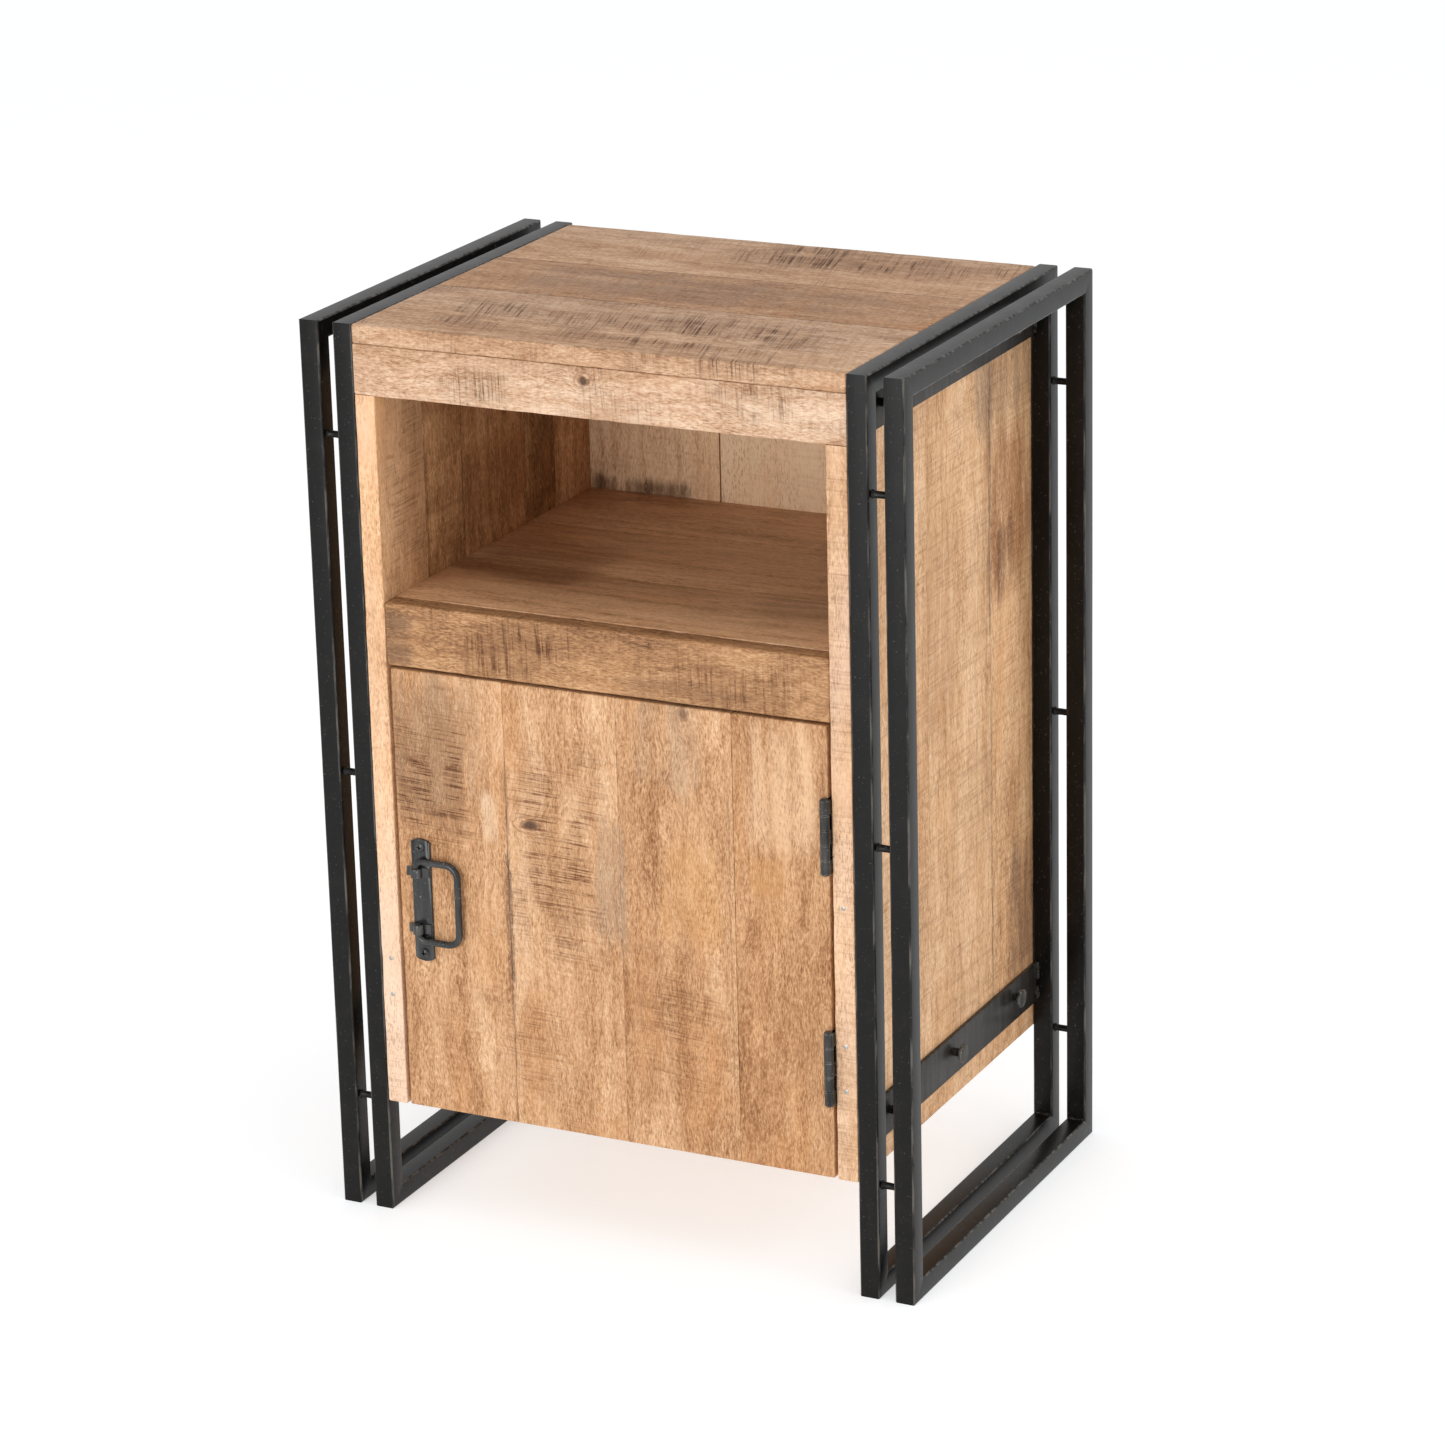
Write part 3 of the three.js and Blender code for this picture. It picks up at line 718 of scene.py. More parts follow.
shelf_rail_wood = sawn_wood(
    "tan_shelf_rail", shade("c99e74"), shade("aa7d54"), shade("7a5232"), saw=0.8, kerf=0.10,
    pitch=230.0, char=LIGHT_CHAR,
    scorches=[scorch("shelf_front_rail", 1.3, x=(0.12, 0.50), z=(-0.3, 1.3)),
              scorch("shelf_front_rail", 1.0, x=(0.55, 1.02), z=(-0.3, 1.3))],
    stains_and_shade=[stain_and_shade("shelf_front_rail", 0.7, "6b4d36", x=(-0.05, 0.09), z=(-0.3, 1.3)),
            stain_and_shade("shelf_front_rail", 0.5, "7d5b40", x=(0.42, 0.95), z=(-0.4, 0.5))],
)
shelf_wood = sawn_wood(
    "smooth_dark_shelf", shade("e8c096"), shade("cea078"), shade("91653e"), saw=0.2,
    contrast=0.75, rings=0.10, kerf=0.03, gloss=0.40, smooth=True,
    stains_and_shade=[stain_and_shade("shelf_panel", 0.70, "734a2c", SHELF_GRIT, x=(-0.10, 0.42), y=(0.10, 0.62)),
            stain_and_shade("shelf_panel", 0.55, "7a5634", x=(0.60, 1.10), y=(0.10, 0.45))],
)
inner_wood = sawn_wood(
    "inside_boards", shade("f0d0ac"), shade("dbb088"), shade("aa7b50"), saw=0.4, kerf=0.12, rings=0.14,
    stains_and_shade=[stain_and_shade("back_board_middle", 0.40, "f6d6b0", BACK_GRIT, y=(-1.0, 0.4)),
            # Painted shade: the dark band across the left back board stands for the shade the left side
            # panel casts on the back wall.
            stain_and_shade("back_board_left", 0.9, "5a3c26", z=(0.62, 0.71), x=(-0.3, 1.0), y=(-1.0, 0.4))],
)
door_wood = sawn_wood(
    "door_boards", shade("deb792"), shade("c2946a"), shade("95653d"), saw=0.85, kerf=0.08, curl=1.4,
    contrast=0.95, pitch=400.0, char=LIGHT_CHAR,
    knots=[
        (spot_in("door_panel", 0.318, 0.0, 0.690), (0.012, 0.2, 0.0055), 1.0),
        (spot_in("door_panel", 0.680, 0.0, 0.985), (0.006, 0.2, 0.008), 0.6),
    ],
    scorches=[
        scorch("door_panel", 1.4, x=(-0.06, 0.24), z=(0.56, 0.97)),
        scorch("door_panel", 1.2, x=(0.22, 0.54), z=(0.28, 0.98)),
        scorch("door_panel", 0.6, x=(0.10, 0.45), z=(0.02, 0.35)),
        scorch("door_panel", 0.7, x=(0.50, 0.80), z=(0.05, 0.50)),
    ],
    stains_and_shade=[
        stain_and_shade("door_panel", 0.60, "866a50", x=(-0.10, 0.27), z=(0.55, 1.12)),
        stain_and_shade("door_panel", 0.65, "e3c3a2", x=(0.19, 0.25), z=(0.60, 0.78)),
        stain_and_shade("door_panel", 0.45, "8f8272", x=(0.44, 0.56), z=(0.34, 0.84)),
        stain_and_shade("door_panel", 0.40, "a08a72", x=(0.52, 0.77), z=(0.74, 1.10)),
        stain_and_shade("door_panel", 0.55, "c28f58", x=(0.58, 0.80), z=(0.40, 0.76)),
        stain_and_shade("door_panel", 0.60, "e2bc96", x=(0.75, 1.05), z=(0.62, 1.10)),
        stain_and_shade("door_panel", 0.55, "b98650", x=(0.80, 0.92), z=(0.58, 0.72)),
        stain_and_shade("door_panel", 0.75, "644834", FINE_GRIT, x=(0.246, 0.276), z=(0.20, 0.72)),
        stain_and_shade("door_panel", 0.50, "6d4f39", FINE_GRIT, x=(0.256, 0.270), z=(-0.1, 1.1)),
        stain_and_shade("door_panel", 0.45, "7d6048", FINE_GRIT, x=(0.772, 0.780), z=(-0.1, 1.1)),
    ],
)

zinc_plate = zinc("zinc_plate")
catch_plastic = moulded_plastic("brown_catch_plastic", shade("5a4632"))


# ------------------------------------------------------------------ meshes: turned, swept and folded


LUMP_GRAIN = 420.0
RING_SIDES = 40
RIM_WIDTHS = 3
BAR_ENDS = (0.72, 0.93, 1.0)


def spokes(side_a, side_b, sides):
    """Unit vectors all the way round, from side_a towards side_b."""
    angles = [2 * math.pi * i / sides for i in range(sides)]
    return [side_a * math.cos(angle) + side_b * math.sin(angle) for angle in angles]


def around(axis, sides):
    """An axis, and the spokes that stand round it."""
    side_a = AXES["y"] if axis == "x" else AXES["x"]
    return AXES[axis], spokes(side_a, AXES[axis].cross(side_a), sides)


def turned(profile, axis, centre, sides, lumps=0.0, seed=0.0):
    """A closed turned solid about an axis. The profile is (distance along, radius) points, and
    a radius of 0 closes the end."""
    axis_vector, outs = around(axis, sides)
    mesh = bmesh.new()
    centre = Vector(centre)
    rings = []
    for along, radius in profile:
        spot = centre + axis_vector * along
        if radius <= 0:
            rings.append([mesh.verts.new(spot)])
            continue
        ring = []
        for out in outs:
            lump = noise.noise((spot + out * radius) * LUMP_GRAIN + Vector((seed, 0, 0)))
            ring.append(mesh.verts.new(spot + out * radius * (1.0 + lumps * lump)))
        rings.append(ring)
    for first, second in zip(rings, rings[1:]):
        for i in range(sides):
            j = (i + 1) % sides
            if len(first) == 1:
                mesh.faces.new((first[0], second[i], second[j]))
            elif len(second) == 1:
                mesh.faces.new((first[j], first[i], second[0]))
            else:
                mesh.faces.new((first[i], first[j], second[j], second[i]))
    return mesh


def ring_solid(outer, inner, low, high, axis, centre, chamfer):
    """A short tube with its outer edges chamfered, such as a hinge knuckle."""
    rim = RIM_WIDTHS * chamfer
    profile = [(low, inner), (low, outer - chamfer), (low + chamfer, outer), (low + rim, outer),
               (high - rim, outer), (high - chamfer, outer), (high, outer - chamfer), (high, inner)]
    axis_vector, outs = around(axis, RING_SIDES)
    mesh = bmesh.new()
    rings = []
    for out in outs:
        spots = [Vector(centre) + axis_vector * along + out * radius for along, radius in profile]
        rings.append([mesh.verts.new(spot) for spot in spots])
    bridge(mesh, rings, closed=True)
    return mesh


def swept(points, radius, sides, lumps, grain, seed=0.0):
    """A round bar along a smooth row of points, with slightly softened ends."""
    mesh = bmesh.new()
    tangents = []
    for i, point in enumerate(points):
        before = points[max(0, i - 1)]
        after = points[min(len(points) - 1, i + 1)]
        tangents.append((after - before).normalized())
    normal = tangents[0].orthogonal().normalized()
    rings = []
    for i, (point, tangent) in enumerate(zip(points, tangents)):
        normal = (normal - tangent * normal.dot(tangent)).normalized()
        other = tangent.cross(normal)
        end = min(i, len(points) - 1 - i)
        narrow = BAR_ENDS[min(end, 2)]
        ring = []
        for out in spokes(normal, other, sides):
            swell = 1.0 + lumps * noise.noise((point + out * radius) * grain + Vector((seed, 0, 0)))
            ring.append(mesh.verts.new(point + out * radius * narrow * swell))
        rings.append(ring)
    bridge(mesh, rings)
    return mesh


def weld_bead(start, end, radius, seed):
    """A lumpy run of weld metal between two points."""
    start, end = Vector(start), Vector(end)
    count = max(5, int((end - start).length / (radius * 0.55)))
    points = []
    for i in range(count + 1):
        spot = start.lerp(end, i / count)
        drift = Vector([noise.noise(spot * 300.0 + Vector((seed, k * 9.0, 0))) for k in range(3)])
        points.append(spot + drift * radius * 0.45)
    return swept(points, radius, sides=12, lumps=0.55, grain=520.0, seed=seed)


def rolled(mesh, edges, round_by, segments):
    bmesh.ops.bevel(mesh, geom=edges, offset=round_by, segments=segments, affect="EDGES",
                    profile=0.5, clamp_overlap=True)
    return mesh


def soft_box(low, high, round_by, segments=2):
    """A box with rolled edges."""
    mesh = plain_box(low, high)
    return rolled(mesh, mesh.edges, round_by, segments)


def outline_solid(outline, axis, start, depth, round_by):
    """A closed outline in the two other directions, pushed along an axis, its rims rolled."""
    mesh = bmesh.new()
    push = AXES[axis] * depth
    ring = [mesh.verts.new(point + AXES[axis] * start) for point in outline]
    far = [mesh.verts.new(vert.co + push) for vert in ring]
    bridge(mesh, [ring, far])
    rims = []
    for edge in mesh.edges:
        a, b = edge.verts
        if abs((a.co - b.co).normalized().dot(AXES[axis])) < 0.5:
            rims.append(edge)
    return rolled(mesh, rims, round_by, 2)


def arc(centre_a, centre_b, radius, start, end, count):
    """Points of an arc in a plane, as (a, b) pairs; the angles are in degrees."""
    points = []
    for i in range(count + 1):
        angle = math.radians(start + (end - start) * i / count)
        points.append((centre_a + radius * math.cos(angle), centre_b + radius * math.sin(angle)))
    return points


# ------------------------------------------------------------------ steel loops

TUBE_ROUND = 2.0 * MM
LOOP_CORNERS = [(-1, -1), (1, -1), (1, 1), (-1, 1)]
STEPS_PER_SIDE = 12


def loop_piece(node, seed):
    low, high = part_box(node)
    half_tube = (high.x - low.x) / 2
    middle = (low + high) / 2
    half_depth = (high.y - low.y) / 2 - half_tube
    half_height = (high.z - low.z) / 2 - half_tube
    section = rounded_section(half_tube, half_tube, (TUBE_ROUND,) * 4, 5)

    def at_corner(corner):
        sign_y, sign_z = LOOP_CORNERS[corner % 4]
        return [
            Vector((middle.x + a, middle.y + sign_y * (half_depth + b),
                    middle.z + sign_z * (half_height + b)))
            for a, b in section
        ]

    mesh = bmesh.new()
    edge = mesh.verts.layers.float_vector.new("edge")
    rings = []
    for corner in range(4):
        here, there = at_corner(corner), at_corner(corner + 1)
        length = (there[0] - here[0]).length
        near = 1.5 * MM / length
        places = [0.0, near] + [i / STEPS_PER_SIDE for i in range(1, STEPS_PER_SIDE)] + [1.0 - near]
        for place in places:
            ring = []
            for (a, b), start, end in zip(section, here, there):
                spot = start.lerp(end, place)
                ripple = noise.noise(spot * 9.0 + Vector((seed, 0, 0))) * 0.12 * MM
                if place == 0.0:
                    ripple += noise.noise(spot * 240.0 + Vector((0, seed, 0))) * 0.25 * MM
                vert = mesh.verts.new(spot + Vector((ripple, 0, 0)))
                # The rounded corners are marked as worn; the same mask sets where the steel paints its edge
                # highlight.
                corner_a = max(0.0, abs(a) - (half_tube - TUBE_ROUND)) / TUBE_ROUND
                corner_b = max(0.0, abs(b) - (half_tube - TUBE_ROUND)) / TUBE_ROUND
                vert[edge] = Vector((min(1.0, 4.0 * corner_a * corner_b), 0, 0))
                ring.append(vert)
            rings.append(ring)
    bridge(mesh, rings, closed=True)
    parts = [mesh]
    bead = 1.9 * MM
    for number, (sign_y, sign_z) in enumerate(LOOP_CORNERS):
        y = middle.y + sign_y * (half_depth - half_tube - bead * 0.15)
        z = middle.z + sign_z * (half_height - half_tube - bead * 0.15)
        run = weld_bead((low.x + 2 * MM, y, z), (high.x - 2 * MM, y, z), bead, seed + number * 3.1)
        parts.append(with_edge(run, 0.35))
    steel_piece(node + "_loop", gather(parts), "frame", "cabinet", (node,))


loop_nodes = [name for name in nodes if "_frame_" in name and "leaf" not in name]
for number, name in enumerate(sorted(loop_nodes)):
    loop_piece(name, 11.0 + number * 7.3)


def spacer_piece(node, seed):
    low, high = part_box(node)
    middle = (low + high) / 2
    radius = (high.z - low.z) / 2
    half = (high.x - low.x) / 2
    collar = [(half, 1.34), (half - 0.5 * MM, 1.30), (half - 1.1 * MM, 1.14), (half - 1.7 * MM, 1.02)]
    profile = [(-half, 0.0)] + [(-along, radius * factor) for along, factor in collar]
    profile += [(0.0, radius)]
    profile += [(along, radius * factor) for along, factor in reversed(collar)] + [(half, 0.0)]
    mesh = turned(profile, "x", middle, sides=20, lumps=0.10, seed=seed)
    ends = half - 1.7 * MM
    with_edge(mesh, lambda spot: 0.3 if abs(spot.x - middle.x) > ends else 0.1)
    steel_piece(node + "_rod", mesh, "frame", "cabinet", (node,))


def numbered(start):
    """The CAD nodes whose names start so, in order and numbered."""
    return enumerate(sorted(name for name in nodes if name.startswith(start)))


for number, name in numbered("spacer_"):
    spacer_piece(name, number * 5.7)


def strap_piece(node, seed):
    """The flat bar, and a short run of weld above and below the middle of each end."""
    low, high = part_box(node)
    bar = soft_box(low, high, 0.5 * MM)
    rim = 1.2 * MM

    def near_edge(spot):
        gap = min(spot.z - low.z, high.z - spot.z)
        return max(0.0, 1.0 - gap / rim) * 0.7

    parts = [with_edge(bar, near_edge)]
    outer_x = high.x if high.x > 0 else low.x
    sign = 1 if high.x > 0 else -1
    tall = high.z - low.z
    for end_y, inward in ((low.y, 1), (high.y, -1)):
        for number, (start, stop) in enumerate(((0.08, 0.42), (0.58, 1.04))):
            x = outer_x + sign * 0.6 * MM
            y = end_y + inward * 0.5 * MM
            foot = (x, y, low.z + tall * start)
            head = (x, y, low.z + tall * stop)
            run = weld_bead(foot, head, 2.3 * MM, seed + number * 2.3 + end_y * 40)
            parts.append(with_edge(run, 0.45))
    steel_piece(node + "_bar", gather(parts), "strap", "cabinet", (node,))


for number, name in numbered("strap_"):
    strap_piece(name, 3.0 + number * 4.1)


def bolt_piece(node, seed):
    """A smooth neck and a flat round head with a worn, slightly uneven rim, where the steel also paints a
    highlight.
    """
    low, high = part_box(node)
    middle = (low + high) / 2
    outward = 1 if middle.x > 0 else -1
    tip = low.x if outward > 0 else high.x
    length = high.x - low.x
    head_radius = (high.z - low.z) / 2
    neck = 4.0 * MM
    head = 3.5 * MM
    profile = [
        (0.0, 0.0), (0.0, neck), (length - head - 1.2 * MM, neck), (length - head, neck * 1.12),
        (length - head, head_radius * 0.96), (length - head + 0.6 * MM, head_radius),
        (length - 1.4 * MM, head_radius), (length - 0.6 * MM, head_radius * 0.965),
        (length - 0.15 * MM, head_radius * 0.86), (length, head_radius * 0.5), (length, 0.0),
    ]
    profile = [(along * outward, radius) for along, radius in profile]
    mesh = turned(profile, "x", (tip, middle.y, middle.z), sides=40, lumps=0.02, seed=seed)
    rim = head_radius * 0.88

    # The rim is marked worn, which also gives it the steel's painted highlight.
    def worn(spot):
        return 0.9 if math.hypot(spot.y - middle.y, spot.z - middle.z) > rim else 0.15

    with_edge(mesh, worn)
    steel_piece(node + "_turned", mesh, "bolt", "cabinet", (node,))


for number, name in numbered("bolt_"):
    bolt_piece(name, number * 3.3)


# ------------------------------------------------------------------ wooden panels


def panel_of(node, along, across, boards, material, slot, body="cabinet", **options):
    low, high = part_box(node)
    panel(node + "_wood", low, high, along, across, boards, material, body, node, slot, **options)


front_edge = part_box("top_panel")[0].y


def back_from_front(distance):
    return front_edge + distance * MM


panel_of(
    "top_panel", "x", "y",
    [
        Board(back_from_front(160), tone=0.35, marks=1.0, heart=0.9, depth=0.05),
        Board(back_from_front(279), tone=-0.45, warmth=0.4, marks=0.35, heart=0.4, depth=0.08),
        Board(None, tone=0.05, warmth=0.2, marks=0.8, heart=0.2, depth=0.06),
    ],
    top_wood, "top_wood", seed=4, arris=1.6 * MM,
)
panel_of("top_front_rail", "x", "z", [Board(None, tone=0.25, marks=1.0, heart=0.2, depth=0.07)],
         rail_wood, "rail_wood", seed=21, arris=1.2 * MM)
panel_of("shelf_front_rail", "x", "z", [Board(None, tone=0.0, marks=0.8, heart=-0.6, depth=0.06)],
         shelf_rail_wood, "shelf_rail_wood", seed=33, arris=2.4 * MM, wear=0.7 * MM)

rail_low, rail_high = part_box("top_front_rail")
notch = [((-1.0, rail_low.y - 0.01, rail_low.z), (1.0, rail_high.y, rail_high.z + 0.01))]
panel_of(
    "side_panel_left", "z", "y",
    [
        Board(back_from_front(85), tone=1.0, warmth=0.35, marks=0.9, heart=0.3, depth=0.05),
        Board(back_from_front(155), tone=-1.0, warmth=0.2, marks=0.6, heart=0.8, depth=0.04),
        Board(back_from_front(277), tone=-1.3, warmth=0.2, marks=0.4, heart=0.4, depth=0.05),
        Board(back_from_front(338), tone=-2.3, marks=0.5, heart=0.6, depth=0.07),
        Board(None, tone=-0.8, marks=0.5, heart=0.5, depth=0.05),
    ],
    left_wood, "side_wood", seed=47, cuts=notch, arris=1.2 * MM,
)
panel_of(
    "side_panel_right", "z", "y",
    [
        Board(back_from_front(95), tone=0.5, marks=0.5, heart=0.6, depth=0.05),
        Board(back_from_front(168), tone=0.2, marks=0.4, heart=0.3, depth=0.04),
        Board(back_from_front(312), tone=0.25, marks=0.4, heart=0.6, depth=0.06),
        Board(None, tone=0.0, marks=0.4, heart=0.4, depth=0.05),
    ],
    side_wood, "side_wood", seed=52, cuts=notch, arris=1.2 * MM,
)


def edge_pins(side, heights):
    """Round pins driven into a side panel's front edge, their heads a hair proud of the wood."""
    low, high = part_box(f"side_panel_{side}")
    middle = (low.x + high.x) / 2
    pins = []
    for height in heights:
        z = low.z + (high.z - low.z) * height
        profile = [(1.6 * MM, 0.0), (1.6 * MM, 1.8 * MM), (-0.05 * MM, 2.2 * MM), (-0.25 * MM, 1.6 * MM),
                   (-0.3 * MM, 0.0)]
        pins.append(with_edge(turned(profile, "y", (middle, low.y, z), sides=20), 0.8))
    finished(f"side_panel_{side}_pins", gather(pins), zinc_plate, "cabinet", (), "zinc_steel")


edge_pins("right", (0.119, 0.178, 0.358))
edge_pins("left", (0.149, 0.198))

shelf_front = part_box("shelf_panel")[0].y
panel_of(
    "shelf_panel", "x", "y",
    [
        Board(shelf_front + 125 * MM, tone=0.1, marks=0.3, heart=0.4, depth=0.05),
        Board(shelf_front + 262 * MM, tone=-0.15, marks=0.2, heart=0.6, depth=0.04),
        Board(None, tone=-0.3, marks=0.2, heart=0.5, depth=0.06),
    ],
    shelf_wood, "shelf_wood", seed=61, arris=0.5 * MM, wear=0.0,
)
bottom_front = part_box("bottom_panel")[0].y
panel_of(
    "bottom_panel", "x", "y",
    [
        Board(bottom_front + 135 * MM, marks=0.4, heart=0.4),
        Board(bottom_front + 270 * MM, tone=-0.2, marks=0.4, heart=0.6),
        Board(None, marks=0.4),
    ],
    inner_wood, "inner_wood", seed=66, arris=0.6 * MM, wear=0.1 * MM,
)


LAP_PLAY = 1.3 * MM


def back_board(node, seed, tone, warmth):
    """Keeps the CAD board's lapped section, and rounds its long arrises a little."""
    low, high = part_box(node)
    middle_y = (low.y + high.y) / 2
    bottom, top = low.z - 1, high.z + 1
    cuts = []
    for other in BACK_BOARDS:
        start, end = (corner.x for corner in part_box(other))
        if start < low.x < end:
            near = (low.x - 0.01, middle_y - LAP_PLAY, bottom)
            cuts.append((near, (end + LAP_PLAY, high.y + 1, top)))
        if start < high.x < end:
            near = (start - LAP_PLAY, low.y - 1, bottom)
            cuts.append((near, (high.x + 0.01, middle_y + LAP_PLAY, top)))
    panel(node + "_wood", low, high, "z", "x", [Board(None, tone, warmth, 0.3, 0.5, 0.04)], inner_wood,
          "cabinet", node, "inner_wood", seed=seed, cuts=cuts, arris=0.6 * MM, wear=0.15 * MM)


BACK_BOARDS = ["back_board_left", "back_board_middle", "back_board_right"]
for number, name in enumerate(BACK_BOARDS):
    # The middle and right boards are far paler than the left one: painted light where the light falls on the
    # back wall, and painted shade on the left board, which the left side panel shades.
    back_board(name, 71 + number, (0.0, 1.8, 1.8)[number], (0.0, 0.1, 0.0)[number])


# ------------------------------------------------------------------ door

door_low, door_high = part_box("door_panel")
LEVELS = ["low", "high"]
LEAF_PLAY = 0.25 * MM
mortises = []
for level in LEVELS:
    leaf_low, leaf_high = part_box(f"hinge_{level}_door_leaf")
    mortise_low = (leaf_low.x - LEAF_PLAY, door_low.y - 0.01, leaf_low.z - LEAF_PLAY)
    mortise_high = (door_high.x + 0.01, leaf_high.y + LEAF_PLAY, leaf_high.z + LEAF_PLAY)
    mortises.append((mortise_low, mortise_high))


def across_door(distance):
    return door_low.x + distance * MM


panel_of(
    "door_panel", "z", "x",
    [
        Board(across_door(116), tone=-0.25, marks=0.6, heart=0.9, depth=0.05),
        Board(across_door(232), tone=0.35, marks=0.5, heart=0.3, depth=0.04),
        Board(across_door(348), tone=-0.30, marks=0.5, heart=0.6, depth=0.05),
        Board(None, tone=-0.85, warmth=0.1, marks=0.15, heart=0.1, depth=0.07),
    ],
    door_wood, "door_wood", body="door", seed=83, cuts=mortises, arris=1.4 * MM, wear=0.5 * MM,
)


# ------------------------------------------------------------------ hinges

KNUCKLES = 5
KNUCKLE_CHAMFER = 0.35 * MM
SCREW_RADIUS = 3.6 * MM


def rubbed_and_highlit_ends(start, end):
    """Bare metal shows where one knuckle has rubbed on the next; the same ends get the steel's painted
    highlight.
    """
    return lambda spot: 1.0 if min(spot.z - start, end - spot.z) < 2 * KNUCKLE_CHAMFER else 0.25


def hinge_leaf(level, kind, body):
    """Rolled knuckles and a flat leaf, notched beside the other leaf's knuckles."""
    node = f"hinge_{level}_{kind}_leaf"
    low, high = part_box(node)
    pin_low, pin_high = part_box(f"hinge_{level}_pin")
    axis_x = (pin_low.x + pin_high.x) / 2
    axis_y = (pin_low.y + pin_high.y) / 2
    length = high.z - low.z
    outer = axis_y - low.y
    bore = 2.6 * MM
    thick = 2.0 * MM
    gap = 0.5 * MM
    pitch = (length + gap) / KNUCKLES
    side = 1 if kind == "frame" else -1
    near, far = axis_x + side * (outer - thick), axis_x + side * outer
    xs = (min(near, far), max(near, far))
    plate_start = axis_y + 5.25 * MM
    parts = [with_edge(soft_box((xs[0], plate_start, low.z), (xs[1], high.y, high.z), 0.25 * MM))]
    for i in range(0 if kind == "frame" else 1, KNUCKLES, 2):
        start = low.z + i * pitch
        end = start + pitch - gap
        centre = (axis_x, axis_y, 0.0)
        knuckle = ring_solid(outer, bore, start, end, "z", centre, KNUCKLE_CHAMFER)
        parts.append(with_edge(knuckle, rubbed_and_highlit_ends(start, end)))
        root = soft_box((xs[0], axis_y + 0.8 * MM, start), (xs[1], plate_start + 1 * MM, end), 0.15 * MM)
        parts.append(with_edge(root))
    steel_piece(f"hinge_{level}_{kind}_leaf_steel", gather(parts), "hinge", body, (node,))
    screws = []
    for height in (0.17, 0.5, 0.83):
        seat = (near, high.y - 8.0 * MM, low.z + length * height)
        screws.append(with_edge(countersunk(seat, -side, SCREW_RADIUS), 0.6))
    steel_piece(f"hinge_{level}_{kind}_screws", gather(screws), "hinge", body, ())


def countersunk(centre, outward, radius):
    """A screw head sunk in a leaf, its slot cut across."""
    rise = 0.25 * MM
    profile = [(-1.2 * MM, 0.0), (-1.2 * MM, radius * 0.6), (0.0, radius), (rise * 0.6, radius * 0.9),
               (rise, radius * 0.5), (rise, 0.0)]
    profile = [(along * outward, size) for along, size in profile]
    mesh = turned(profile, "x", centre, sides=24)
    x, y, z = centre
    cuts = []
    for half_y, half_z in ((0.45 * MM, radius * 0.6), (radius * 0.6, 0.45 * MM)):
        start = x - 0.45 * MM if outward > 0 else x - 1 * MM
        end = x + 1 * MM if outward > 0 else x + 0.45 * MM
        cuts.append(((start, y - half_y, z - half_z), (end, y + half_y, z + half_z)))
    return cut_away(mesh, cuts)


def hinge_pin(level):
    node = f"hinge_{level}_pin"
    low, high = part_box(node)
    centre = ((low.x + high.x) / 2, (low.y + high.y) / 2, (low.z + high.z) / 2)
    half = (high.z - low.z) / 2
    head = (high.x - low.x) / 2
    pin = 2.5 * MM
    rise = 1.5 * MM
    end = [(half, 0.0), (half, head * 0.35), (half - 0.35 * MM, head * 0.75), (half - 0.9 * MM, head),
           (half - rise, head), (half - rise, pin)]
    profile = [(-along, radius) for along, radius in end]
    profile += [(along, radius) for along, radius in reversed(end)]
    mesh = with_edge(turned(profile, "z", centre, sides=28), 0.4)
    steel_piece(f"hinge_{level}_pin_steel", mesh, "hinge", "cabinet", (node,))


for level in LEVELS:
    hinge_leaf(level, "frame", "cabinet")
    hinge_leaf(level, "door", "door")
    hinge_pin(level)


# ------------------------------------------------------------------ pull


def handle_plate():
    low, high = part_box("handle_plate")
    half = (high.x - low.x) / 2
    middle = (low.x + high.x) / 2
    rise = 3.0 * MM
    radius = (half * half + rise * rise) / (2 * rise)
    sweep = math.degrees(math.asin(half / radius))
    top = arc(middle, high.z - radius, radius, 90 - sweep, 90 + sweep, 10)
    bottom = arc(middle, low.z + radius, radius, 270 - sweep, 270 + sweep, 10)
    outline = [Vector((x, 0, z)) for x, z in top + bottom]
    mesh = outline_solid(outline, "y", low.y, high.y - low.y, 0.6 * MM)
    with_edge(mesh, lambda spot: 0.5 if min(spot.x - low.x, high.x - spot.x) < 0.7 * MM else 0.05)
    steel_piece("handle_plate_steel", mesh, "handle", "door", ("handle_plate",), smooth_angle=50)


def bail():
    """One bent rod: ends turned in along the pivot, two arms and the grip."""
    low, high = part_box("handle_bail")
    rod = (high.y - low.y) / 2
    pivot = low.x + rod
    grip = high.x - rod
    top, bottom = high.z - rod, low.z + rod
    pivot_bend, grip_bend, end = 7 * MM, 12 * MM, 10 * MM
    half = [(pivot, top - pivot_bend - end), (pivot, top - pivot_bend - end * 0.97)]
    half += [(pivot, top - pivot_bend - end * 0.5), (pivot, top - pivot_bend)]
    half += arc(pivot + pivot_bend, top - pivot_bend, pivot_bend, 180, 90, 8)[1:]
    half += [(pivot + (grip - pivot) * f, top) for f in (0.35, 0.5, 0.62)]
    half += arc(grip - grip_bend, top - grip_bend, grip_bend, 90, 0, 9)
    middle = (top + bottom) / 2
    half += [(grip, top - grip_bend - (top - grip_bend - middle) * f) for f in (0.25, 0.5, 0.75, 1.0)]
    mirrored = [(x, 2 * middle - z) for x, z in reversed(half[:-1])]
    centre_y = (low.y + high.y) / 2
    points = [Vector((x, centre_y, z)) for x, z in half + mirrored]
    mesh = swept(points, rod, sides=20, lumps=0.02, grain=120.0)
    with_edge(mesh, 0.25)
    steel_piece("handle_bail_rod", mesh, "handle", "bail", ("handle_bail",))


